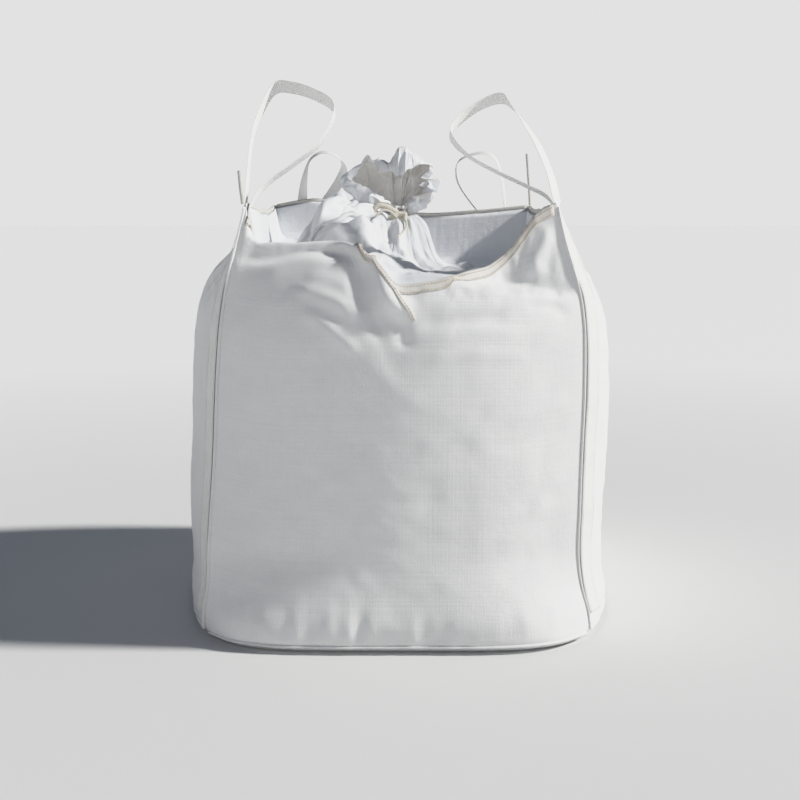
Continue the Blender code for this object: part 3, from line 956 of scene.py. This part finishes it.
body_fabric = fabric_look("body_fabric_weave", 0.0032, BODY_SHADES, 0.52, 0.8)
skirt_fabric = fabric_look("skirt_fabric_weave", 0.0028, SKIRT_SHADES, 0.42, 2.2)
# the tail's inner face: the skirt fabric with painted warm bounce light
tail_inside_painted_bounce = fabric_look("tail_inside_painted_bounce_weave", 0.0028, INSIDE_PAINTED_BOUNCE_SHADES, 0.55, 2.2)
webbing = webbing_look()
hem_tape = hem_look()
tie_cord = cord_look("tie_cord_strands", TIE_SHADES)
seam_cord = cord_look("seam_tape_strands", TAPE_SHADES)
thread = thread_look("stitch_thread", 0.6, 900.0, 2.0, THREAD_SHADES)
brown_thread = thread_look("hem_stitch_thread", 0.7, 300.0, 3.0, BROWN_SHADES)
granules = product_look()


# ---------------------------------------------------------------- camera, light and floor


def add_camera():
    """The photo's camera."""
    data = bpy.data.cameras.new("camera")
    data.lens = CAMERA_LENS
    data.sensor_width = 36
    camera = bpy.data.objects.new("camera", data)
    camera.location = CAMERA_PLACE
    camera.rotation_euler = (math.radians(90 - CAMERA_PITCH), 0, math.radians(CAMERA_YAW))
    bpy.context.scene.collection.objects.link(camera)
    bpy.context.scene.camera = camera


def soften_highlights():
    """Photographic tone: bright cloth keeps its folds instead of clipping to white."""
    view = bpy.context.scene.view_settings
    view.view_transform = "Standard"
    view.use_curve_mapping = True
    mapping = view.curve_mapping
    brightest = HIGHLIGHTS[-1][0]
    mapping.clip_max_x = brightest
    mapping.clip_max_y = brightest
    mapping.extend = "HORIZONTAL"
    *channels, combined = mapping.curves
    for channel in channels:
        channel.points[1].location = (brightest, brightest)
    combined.points[0].location = HIGHLIGHTS[0]
    combined.points[1].location = HIGHLIGHTS[-1]
    for place, shown in HIGHLIGHTS[1:-1]:
        combined.points.new(place, shown)
    mapping.update()


def add_studio():
    """A pale floor under a soft bright surround, and one large key light from the right."""
    scene = bpy.context.scene
    world = bpy.data.worlds.new("surround")
    world.use_nodes = True
    nodes, links = world.node_tree.nodes, world.node_tree.links
    place = nodes.new("ShaderNodeTexCoord")
    parts = nodes.new("ShaderNodeSeparateXYZ")
    ramp = nodes.new("ShaderNodeValToRGB")
    links.new(place.outputs["Generated"], parts.inputs[0])
    links.new(parts.outputs[2], ramp.inputs["Fac"])
    set_ramp(ramp, SURROUND)
    links.new(ramp.outputs["Color"], nodes["Background"].inputs["Color"])
    scene.world = world
    key = bpy.data.lights.new("key", "SUN")
    key.energy = KEY_STRENGTH
    key.angle = math.radians(KEY_SOFTNESS)
    key.color = KEY_COLOUR
    lamp = bpy.data.objects.new("key", key)
    lamp.rotation_euler = Vector(KEY_FROM).to_track_quat("Z", "Y").to_euler()
    scene.collection.objects.link(lamp)
    new_floor()


def new_floor():
    """A pale floor with painted light: darker near the object, lighter far off, as under a studio
    sweep.
    """
    look = Looks("pale_floor", 0.9, specular=0.1)
    place = look.place()
    apart = look.add("ShaderNodeVectorMath", {"operation": "LENGTH"}, Vector=place)
    mottle = look.noise(place, 1.2, 3.0)
    look.tint(look.total((apart.outputs["Value"], 0.14), (mottle, 0.05)), FLOOR_PAINTED_LIGHT)
    corners = [(x * FLOOR_HALF, y * FLOOR_HALF, 0) for x, y in ((-1, -1), (1, -1), (1, 1), (-1, 1))]
    return new_piece("floor", corners, [(0, 1, 2, 3)], [look.material], smooth=False)


# ---------------------------------------------------------------- cords


def add_cord(name, points, node, slot, look, diameter):
    """A free cord of the bag's, from its exit at the first point, as a round bevelled line."""
    curve = bpy.data.curves.new(name, "CURVE")
    curve.dimensions = "3D"
    curve.bevel_depth = diameter / 2
    curve.bevel_resolution = 3
    curve.use_fill_caps = True
    line = curve.splines.new("POLY")
    line.points.add(len(points) - 1)
    for point, place in zip(line.points, points):
        point.co = (*place, 1)
    curve.materials.append(look)
    piece = bpy.data.objects.new(name, curve)
    bpy.context.scene.collection.objects.link(piece)
    settle(piece, "bag", slot, node)


def add_cords():
    """The tie's two free ends, and the two ends of filler tape."""
    for end, points in TIE_ENDS.items():
        add_cord(
            f"tie_end_{end}_cord", smooth_route(points, 5), f"tie_end_{end}", "tie_cord", tie_cord,
            TIE_END_WIDTH,
        )
    for corner, points in SEAM_TAPES.items():
        add_cord(
            f"seam_tape_{corner}_end", lean(smooth_route(points, 9)), f"seam_tape_{corner}",
            "webbing", seam_cord, SEAM_TAPE_WIDTH,
        )


# ---------------------------------------------------------------- panels, hems and seams


def add_panels(grid, weave):
    """The four side panels."""
    for side in SIDES:
        columns = side_columns(side)
        part_weave = weave[columns]
        part_weave[-1] = part_weave[-2] + (CELL_WIDTH, 0)
        piece = grid_piece(f"{side}_panel_fabric", grid[columns], [body_fabric], part_weave)
        settle(piece, "bag", "body_fabric", f"{side}_panel")


def at_heights(column, heights):
    """Points at heights on a column of the body, below its crest."""
    crest = int(np.argmax(column[:, 2])) + 1
    return interpolate(heights, column[:crest, 2], column[:crest])


def add_fill(grid):
    """The bulk product, just inside the panels and heaped in a low dome under the duffle."""
    inward = -unit(grid_normals(grid) * (1, 1, 0))
    shoulder = FILL_HEIGHTS[-1]
    rings = []
    for column, way in zip(grid[::4], inward[::4]):
        way = interpolate(FILL_HEIGHTS, column[:, 2], way)
        wall = at_heights(column, FILL_HEIGHTS) + way * FILL_CLEARANCE
        dome = [
            (wall[-1][0] * share, wall[-1][1] * share, shoulder + (FILL_TOP - shoulder) * rise)
            for share, rise in FILL_DOME
        ]
        rings.append(np.vstack([wall, dome]))
    rings = np.array(rings)
    around, up = rings.shape[:2]
    index = np.arange(around * up).reshape(around, up)
    faces = [*grid_faces(around, up, True), index[::-1, 0], index[:, -1]]
    piece = new_piece("bulk_fill_heap", rings.reshape(-1, 3), faces, [granules])
    settle(piece, "bag", "bulk_product", "bulk_fill")


def add_base(grid):
    """The base fabric under the fill, out to the foot of the panels."""
    outline = grid[::-1, 0] * (0.995, 0.995, 0)
    rings = np.stack([outline * share for share in np.linspace(0.02, 1, 22)], axis=1)
    rings[..., 2] = 0.0002
    piece = grid_piece(
        "base_fabric", rings, [body_fabric], rings[..., :2], closed=True, subdivide=0
    )
    settle(piece, "bag", "body_fabric", "base_panel")


def down_column(column, distances):
    """Points at distances from a column's cut edge, back along it."""
    return interpolate(distances, lengths_along(column[::-1]), column[::-1])


def hem_ring(column, normals):
    """The hem's section over one column of a panel: down its inside, and the way out from it."""
    depths, proud = np.array(HEM_SECTION).T
    outer = down_column(column, depths)
    out = unit(down_column(normals, depths))
    edge = unit(outer[-1] - outer[-2])
    front = outer + out * proud[:, None]
    back = outer - out * (proud[:, None] + FABRIC)
    tip = outer[-1] + edge * HEM_TIP - out[-1] * FABRIC / 2
    return np.vstack([front, tip[None], back[::-1]]), out[2]


def add_hems(grid):
    """A folded tape over each panel's cut edge, with two rows of stitches."""
    normals = grid_normals(grid)
    for side in SIDES:
        columns = side_columns(side)[1:-1]
        rings, ways = (
            np.array(part) for part in zip(*(hem_ring(grid[c], normals[c]) for c in columns))
        )
        count, around = rings.shape[:2]
        # the ring runs the other way round than a swept outline, so its faces are turned
        faces = [[face[0], *face[:0:-1]] for face in tube_faces(count, around)]
        places = [
            np.repeat(lengths_along(rings[:, 5]), around), np.tile(np.arange(around) * 0.006, count),
        ]
        weave = np.stack(places, axis=1)
        piece = new_piece(f"{side}_hem", rings.reshape(-1, 3), faces, [hem_tape], weave)
        settle(piece, "bag", "hem_tape", f"rim_hem_{side}")
        runs = [
            (np.array([down_column(grid[c], depth) for c in columns]) + ways * HEM_STITCH_RISE, ways)
            for depth in HEM_STITCHES
        ]
        add_stitches(f"{side}_hem_stitches", runs, brown_thread)


def on_front(grid, places):
    """Points of the front panel at places (x, height), and its normals there."""
    columns = side_columns("front")
    step = 0.004

    def at(x, height):
        row = np.array([at_heights(grid[column], height) for column in columns])
        return interpolate(x, row[:, 0], row)

    points = np.array([at(x, height) for x, height in places])
    across = np.array([at(x + step, height) - at(x - step, height) for x, height in places])
    up = np.array([at(x, height + step) - at(x, height - step) for x, height in places])
    return points, unit(np.cross(across, up))


def add_hem_tuck(grid):
    """The end of the slumped hem, which runs down the front under the diagonal fold."""
    points, out = on_front(grid, smooth_route(HEM_TUCK, 8))
    sides, _ = frames_along(points, np.cross(np.gradient(points, axis=0), out))
    outline = band_outline(*TUCK_SECTION)
    piece = sweep("front_hem_tuck", points + out * 0.0022, sides, out, outline, hem_tape)
    settle(piece, "bag", "hem_tape", "rim_hem_front")
    add_stitches("front_hem_tuck_stitches", [(points + out * 0.0040, out)], brown_thread)


def add_seam(name, node, line, sides, ups, section, stitch_place):
    """A seam's ridge of two turned-out edges, with a row of stitches on either face."""
    outline = ellipse(*section)
    piece = sweep(name, line + sides * SEAM_STANDOFF, sides, ups, outline, body_fabric)
    settle(piece, "bag", "body_fabric", node)
    beside, proud = stitch_place
    runs = [(line + sides * beside + ups * sign * proud, ups * sign) for sign in (-1, 1)]
    add_stitches(f"{name.removesuffix('_fin')}_stitches", runs, thread)


def add_corner_seams(grid):
    """Each corner's sewn ridge: the two panels' edges turned out and stitched together."""
    for k, (corner, (x, y)) in enumerate(CORNERS.items()):
        column = grid[k * COLUMNS]
        height = column[:, 2]
        keep = (height > BASE_SEAM_HEIGHT) & (height < RIM_TIP_HEIGHT - 0.001)
        line = resample(column[keep], 180)
        diagonal = unit(np.array([x, SEAM_TURNS[corner] * y, 0.0]))
        draw = np.random.default_rng(50 + k)
        sway = np.convolve(draw.normal(size=200), np.ones(20) / 20, "valid") * 0.10
        sides, ups = frames_along(line, diagonal)
        sides = unit(sides + ups * sway[:, None])
        ups = unit(np.cross(np.gradient(line, axis=0), sides))
        seam = f"corner_seam_{corner}"
        add_seam(f"{seam}_fin", seam, line, sides, ups, SEAM_FINS[corner], (0.0036, 0.0018))


def add_base_seams(grid):
    """The turned-out seam low on each side, where the panel meets the base."""
    for side, (facing, _) in SIDES.items():
        columns = side_columns(side)[1:-1]
        line = np.array([at_heights(grid[column], BASE_SEAM_HEIGHT) for column in columns])
        sides, ups = frames_along(line, np.array(facing, float) + (0, 0, BASE_SEAM_DROOP))
        name, node = f"{side}_base_seam", f"base_seam_{side}"
        add_seam(name, node, line, sides, ups, BASE_SEAM_FIN, (0.0030, 0.0016))


# ---------------------------------------------------------------- webbing


def strap_on_body(grid, corner, standoff, low, high, count):
    """The strap's middle line on its panel, with the way across it and the way out."""
    side, end, setback = STRAPS[corner]
    columns = side_columns(side)
    lines = []
    for offset in (setback - 0.012, setback, setback + 0.012):
        line = []
        for height in np.linspace(low, high, count):
            corner_half = float(smooth_value(height, BODY_FORM)[0])
            across = end * (1 - offset / corner_half)
            place = (across + 1) / 2 * COLUMNS
            i = min(int(place), COLUMNS - 1)
            before, after = (at_heights(grid[column], height) for column in columns[i:i + 2])
            line.append(before + (after - before) * (place - i))
        lines.append(np.array(line))
    across = unit(lines[2] - lines[0])
    out = np.cross(across, unit(np.gradient(lines[1], axis=0)))
    out = unit(out * np.sign(out @ np.array(SIDES[side][0], float))[:, None])
    lift = math.tan(math.radians(STRAP_TURNS[corner]))
    middle = lines[1] + out * (standoff + WEBBING_WIDTH / 2 * lift)
    return middle, unit(across + out * lift), unit(out - across * lift)


def loop_line(corner):
    """The loop's free middle line in the frame, and the way across its band."""
    foot, degrees, line = LOOPS[corner]
    inboard = np.array([-math.copysign(1, foot[0]), 0, 0])
    tilt = math.radians(degrees)
    up = np.array([0, math.sin(tilt), math.cos(tilt)])
    ways = np.repeat(BAND_WIDTHS[corner], 2, axis=0)
    across = interpolate(np.linspace(0, 1, len(line)), BAND_TURNS, ways)
    return lean([np.array(foot) + inboard * x + up * rise for x, rise in line]), across


def add_webbing(grid):
    """One band a corner: up the panel from the base, round the loop, and back down inside."""
    for corner in STRAPS:
        run = WEBBING_RUNS[corner.split("_")[0]]
        top, sewn_inside, start_lift, first, sign, (low, high) = run
        body, body_across, body_out = strap_on_body(
            grid, corner, STRAP_STANDOFF, STRAP_FOOT, top, 46
        )
        inside, inside_across, _ = strap_on_body(grid, corner, *sewn_inside)
        loop, loop_across = loop_line(corner)
        loop[0] += body_out[-1] * start_lift
        loop[-1] -= body_out[-1] * 0.002
        knots = np.vstack([body[::3], loop[first:], inside[::-1]])
        ways = np.vstack([body_across[::3] * sign, loop_across[first:], inside_across[::-1] * sign])
        route = smooth_route(knots, 6)
        along = lengths_along(route)
        spaced = np.linspace(0, along[-1], int(along[-1] / WEBBING_STEP))
        turned = unit(interpolate(spaced, along, unit(smooth_route(ways, 6))))
        route = interpolate(spaced, along, route)
        sides, ups = frames_along(route, turned)
        outline = band_outline(WEBBING_WIDTH, WEBBING)
        piece = sweep(f"webbing_{corner}", route, sides, ups, outline, webbing)
        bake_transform(piece)
        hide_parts(f"corner_strap_{corner}", f"lifting_loop_{corner}")
        add_strap_stitches(corner, body, body_across, body_out)


def add_strap_stitches(corner, line, across, out):
    """Two rows down each strap, and a boxed cross where it carries the load."""
    side = across * (WEBBING_WIDTH / 2 - 0.006)
    face = line + out * 0.0012
    runs = [(face + side * sign, out) for sign in (-1, 1)]
    high = len(line) - 2
    low = high - (7 if corner.startswith("front") else 9)
    for sign in (-1, 1):
        ends = np.array([face[low] + side[low] * sign, face[high] - side[high] * sign])
        runs.append((resample(ends, 8), np.tile(out[low], (9, 1))))
    for row in (low, high):
        ends = np.array([face[row] - side[row], face[row] + side[row]])
        runs.append((resample(ends, 4), np.tile(out[row], (5, 1))))
    add_stitches(f"webbing_{corner}_stitches", runs, thread)


# ---------------------------------------------------------------- duffle top


# broad folds of the skirt: direction and spread in degrees, how proud, and the shares of the way
# from rim to neck between which they run
SKIRT_RIDGES = (
    (-172, 9, 0.020, 0.10, 0.95), (-160, 6, -0.022, 0.10, 0.90), (-146, 9, 0.040, 0.12, 0.97),
    (-131, 6, -0.016, 0.20, 0.95), (-118, 9, 0.022, 0.20, 0.96), (-104, 6, -0.018, 0.35, 0.98),
    (-92, 8, 0.018, 0.30, 0.98), (-78, 7, -0.024, 0.30, 0.98), (-60, 12, 0.022, 0.40, 0.98),
    (-40, 8, -0.012, 0.55, 0.98), (-20, 12, 0.014, 0.55, 0.98), (18, 10, -0.012, 0.45, 0.98),
    (40, 9, 0.016, 0.05, 0.98), (62, 8, -0.012, 0.05, 0.98), (84, 10, 0.014, 0.05, 0.98),
    (110, 9, -0.014, 0.10, 0.98), (132, 10, 0.018, 0.10, 0.98), (156, 8, -0.012, 0.10, 0.95),
)

# at shares of the way from the rim to the neck: how much of the rim's height the skirt still has,
# and its height where it lies low on the fill, or up over the hump of cloth on the left
SKIRT_RIM = ((0.00, 1.0), (0.015, 0.62), (0.04, 0.16), (0.08, 0.02), (0.20, 0.0), (1.0, 0.0))
SKIRT_LOW = (
    (0.00, 0.906), (0.30, 0.908), (0.55, 0.908), (0.70, 0.912), (0.76, 0.930), (0.81, 0.966),
    (0.855, 1.020), (0.90, 1.048), (0.95, 1.060), (1.00, 1.062),
)
SKIRT_HUMP = (
    (0.00, 0.940), (0.14, 0.945), (0.24, 0.955), (0.34, 1.015), (0.45, 1.080), (0.58, 1.108),
    (0.74, 1.106), (0.87, 1.084), (1.00, 1.062),
)

# at angles round the skirt: how far it is drawn straight from rim to neck, how much of the hump
SKIRT_DRAW = (
    (-180, 0.30, 0.95), (-155, 0.40, 0.90), (-135, 0.55, 0.60), (-118, 0.75, 0.20),
    (-95, 0.60, 0.0), (-70, 0.30, 0.0), (-40, 0.05, 0.0), (0, 0.0, 0.0), (45, 0.05, 0.0),
    (90, 0.22, 0.0), (120, 0.55, 0.0), (145, 0.60, 0.40), (165, 0.40, 0.85), (180, 0.30, 0.95),
)
SKIRT_START = -3 * math.pi / 4      # where the neck's first column lies: the front left corner
SKIRT_INSET = 0.0062                # the skirt is sewn this far inside the panels' drawn face

# the skirt lies no lower than this height, which falls away with a slope past a distance from the
# middle: height, distance, slope
SKIRT_FLOOR = (0.893, 0.36, 0.30)


def skirt_grid(body):
    """The skirt from its seam below the rim to the tied neck, before it is relaxed."""
    normals = grid_normals(body)
    outer = np.array([
        down_column(column, SKIRT_DROP) - normal * SKIRT_INSET
        for column, normal in zip(body, normals[:, -3])
    ])
    top = outer[:, 2:]
    angle = np.degrees(np.arctan2(outer[:, 1], outer[:, 0]))
    around = SKIRT_START + 2 * math.pi * np.arange(len(outer)) / len(outer)
    neck = np.stack([np.cos(around), np.sin(around), 0 * around], axis=1) * NECK_RADIUS
    share = np.linspace(0, 1, SKIRT_ROWS + 1) ** 0.92
    rim = smooth_value(share, SKIRT_RIM)[:, 0]
    low, over = (
        top * rim + smooth_value(share, lie)[:, 0] * (1 - rim)
        for lie in (SKIRT_LOW, SKIRT_HUMP)
    )
    straight = top + (NECK_TOP - top) * share
    straight -= share * (1 - share) * np.maximum(top - 0.96, 0)
    drawn, humped = (v[:, None] for v in smooth_value(angle, SKIRT_DRAW).T)
    height = low * (1 - drawn) + straight * drawn
    height = height * (1 - humped) + over * humped
    grid = outer[:, None] * (1 - share)[None, :, None] + neck[:, None] * share[None, :, None]
    turn = around[:, None] + rough(height.shape, (7, 3), 21) * 0.05
    pleats = (
        0.008 * np.sin(9 * turn + 1.2) * ease(0.30, 0.75, share)
        + 0.005 * np.sin(17 * turn + 3 * rough(height.shape, (9, 2), 22)) * ease(0.45, 0.85, share)
        + 0.003 * np.sin(31 * turn) * ease(0.7, 0.92, share)
    )
    for degrees, spread, proud, inner, outer_share in SKIRT_RIDGES:
        turned = (np.degrees(turn) - degrees + 180) % 360 - 180
        reach = ease(inner, inner + 0.25, share) * ease(outer_share, outer_share - 0.12, share)
        pleats = pleats + proud * np.exp(-((turned / spread) ** 2)) * reach
    crumple = 0.006 * rough(height.shape, (34, 9), 23) + 0.003 * rough(height.shape, (80, 20), 24)
    free = np.sin(math.pi * share) ** 0.8
    grid[..., 2] = height + (pleats + crumple) * free
    return grid


def relax_skirt(grid):
    """The skirt sags between its seam and the tie, which hold it."""
    share = np.linspace(0, 1, grid.shape[1])
    pin = np.maximum(0.9 * ease(0.22, 0.04, share), ease(0.93, 1.0, share))
    pin[:2] = 1
    pin = np.tile(pin, (len(grid), 1))
    return relax(grid, pin, growth=0.035, frames=22, cap=0.024, weight=0.12)


def ring_weave(grid, length):
    """Places in the cloth for a ring of columns, with so many metres round it."""
    down = np.stack([lengths_along(column) for column in grid])
    around = np.linspace(0, length, len(grid))[:, None] + 0 * down
    return np.stack([around, down], axis=-1)


def add_skirt(body):
    """The duffle skirt, gathered from the rim to the neck and resting on the fill."""
    grid = skirt_grid(body)
    grid = relax_skirt(grid)
    reach = np.max(np.abs(grid[..., :2]), axis=-1)
    lowest, half, slope = SKIRT_FLOOR
    grid[..., 2] = np.maximum(grid[..., 2], lowest - slope * np.maximum(reach - half, 0))
    piece = grid_piece(
        "duffle_skirt_fabric", grid[::-1], [skirt_fabric], ring_weave(grid, 3.8)[::-1],
        closed=True, thickness=THIN_FABRIC,
    )
    settle(piece, "bag", "skirt_fabric", "duffle_skirt")


# around the tail: angle in degrees, how far out it flares, height of its cut edge
TAIL_LOBES = (
    (-180, 0.160, 1.172), (-165, 0.136, 1.142), (-140, 0.085, 1.108), (-115, 0.054, 1.094),
    (-90, 0.046, 1.090), (-60, 0.062, 1.098), (-30, 0.090, 1.130), (0, 0.096, 1.165),
    (30, 0.087, 1.206), (55, 0.072, 1.234), (80, 0.062, 1.238), (105, 0.070, 1.230),
    (130, 0.098, 1.216), (155, 0.150, 1.200), (180, 0.162, 1.176),
)
TAIL_COLUMNS = 288
TAIL_ROWS = 40
TAIL_FOOT = NECK_TOP - 0.010

# at shares of the way up the tail: how far it has flared, how far it has risen, and how far it has
# risen at the back, where its edge curls over forward like a hood
TAIL_FLARE = (
    (0.0, 0.0), (0.10, 0.14), (0.28, 0.55), (0.48, 0.88), (0.64, 1.0), (0.80, 0.98), (1.0, 0.80),
)
TAIL_RISE = (
    (0.0, 0.0), (0.10, 0.10), (0.28, 0.30), (0.48, 0.50), (0.64, 0.68), (0.80, 0.88), (1.0, 1.0),
)
TAIL_HOOD = (
    (0.0, 0.0), (0.10, 0.12), (0.28, 0.38), (0.48, 0.68), (0.64, 0.90), (0.76, 1.0), (0.88, 0.93),
    (1.0, 0.68),
)
HOOD_ANGLE = 85             # degrees round the tail, and how far to either side the hood reaches
HOOD_SPREAD = 55
HOOD_REACH = 0.098          # how far forward it curls

# the gathered core inside the neck, from its middle out: radius, height above the neck's top
TAIL_CORE = ((0.002, 0.004), (0.010, 0.002), (0.018, -0.004))


def pleat(phase):
    """A wave whose ridges are sharp and whose hollows are round."""
    return 1 - 2 * np.abs(np.sin(phase / 2))


def tail_grid():
    """The fanned and ruffled gather above the tie, from the neck to its cut edge."""
    shape = (TAIL_COLUMNS, TAIL_ROWS + 1)
    angle = -math.pi + 2 * math.pi * np.arange(TAIL_COLUMNS)[:, None] / TAIL_COLUMNS
    degrees = np.degrees(angle)
    flare, top = np.moveaxis(smooth_value(degrees, TAIL_LOBES), -1, 0)
    share = np.linspace(0, 1, TAIL_ROWS + 1)
    out, rise, hooded = (
        smooth_value(share, knots)[:, 0] for knots in (TAIL_FLARE, TAIL_RISE, TAIL_HOOD)
    )
    wander = 0.9 * rough(shape, (8, 3), 31)
    pleats = (
        0.55 * pleat(13 * angle + wander) + 0.35 * pleat(23 * angle + 2 * wander)
        + 0.20 * np.sin(37 * angle)
    )
    hood = 0.95 * np.exp(-(((degrees - HOOD_ANGLE) / HOOD_SPREAD) ** 4))
    lump = np.exp(-(((180 - np.abs(degrees)) / 40) ** 2))
    depth = ease(0.02, 0.35, share) * 0.013 + ease(0.4, 0.9, share) * 0.010
    depth = depth * (1 - 0.75 * hood * ease(0.40, 0.75, share)) * (1 - 0.55 * lump)
    reach = NECK_RADIUS * 0.92 + (flare - NECK_RADIUS) * out + pleats * depth
    reach += 0.008 * rough(shape, (30, 7), 33) * ease(0.2, 0.6, share)
    reach += hood * 0.010 * ease(0.35, 0.70, share)
    height = TAIL_FOOT + (top - TAIL_FOOT) * (rise + (hooded - rise) * hood)
    height += 0.010 * rough(shape, (22, 5), 32) * ease(0.3, 0.8, share)
    forward = HOOD_REACH * hood * ease(0.64, 1.0, share)
    radius, above = np.tile(np.transpose(TAIL_CORE)[:, None], (1, TAIL_COLUMNS, 1))
    reach = np.concatenate([radius * (1 + 0.25 * pleats[:, :1]), reach], axis=1)
    height = np.concatenate([NECK_TOP + above, height], axis=1)
    forward = np.concatenate([0 * radius, forward], axis=1)
    turn = angle + 0.06 * rough(reach.shape, (12, 4), 34)
    return np.stack([reach * np.cos(turn), reach * np.sin(turn) * 0.86 - forward, height], axis=-1)


def relax_tail(grid):
    """The tail settles above the tie, except in front, where its cut edge is low."""
    share = np.linspace(0, 1, grid.shape[1])
    pin = np.tile(ease(0.22, 0.05, share) + 0.15 * ease(0.1, 0.3, share), (len(grid), 1))
    pin = np.maximum(pin, 0.9 * ease(1.125, 1.100, grid[:, -1:, 2]))
    return relax(grid, pin, growth=0.07, frames=20, cap=0.024, weight=0.10)


def add_tail():
    """The gather above the tie, which stands for the CAD tail."""
    grid = tail_grid()
    grid = relax_tail(grid)
    # the inner face takes the copy with painted warm bounce light
    piece = grid_piece(
        "duffle_tail_fabric", grid, [skirt_fabric, tail_inside_painted_bounce], ring_weave(grid, 0.9),
        closed=True, thickness=THIN_FABRIC,
    )
    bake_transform(piece)
    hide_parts("duffle_tail")


def tie_tape(name, points, radius, flatness, node):
    """A length of the tie's soft tape along a line."""
    hint = (0.0, 0.0, 1.0) + 0.3 * np.gradient(points, axis=0)[:, ::-1]
    sides, ups = frames_along(points, hint)
    piece = sweep(name, points, sides, ups, ellipse(radius, radius * flatness), tie_cord)
    settle(piece, "bag", "tie_cord", node)


def add_tie():
    """Three turns of tape round the neck, a chunky knot in front and a small bow's loop."""
    wound = np.linspace(0, 2 * math.pi * TIE_TURNS, 150)
    turns = wound - math.pi / 2
    radius = NECK_RADIUS + 0.0075 + 0.0016 * np.sin(turns * 1.7)
    climb = 0.018 * (wound / wound[-1] - 0.5) + 0.0015 * np.sin(2.3 * turns)
    places = [radius * np.cos(turns), radius * np.sin(turns), TIE_HEIGHT + climb]
    tie_tape("tie_wraps", np.stack(places, axis=1), 0.0056, 0.7, "tie_band")
    tie_tape("tie_knot_loops_0", smooth_route(TIE_BOW, 8), 0.0076, 0.55, "tie_knot")


# ---------------------------------------------------------------- all of it


add_camera()
soften_highlights()
add_studio()
add_cords()

body, weave = body_grid()
body = crease_body(body)
body = relax_body(body)

add_panels(body, weave)
add_fill(body)
add_base(body)
add_hems(body)
add_hem_tuck(body)
add_corner_seams(body)
add_base_seams(body)
add_webbing(body)
add_skirt(body)
add_tail()
add_tie()
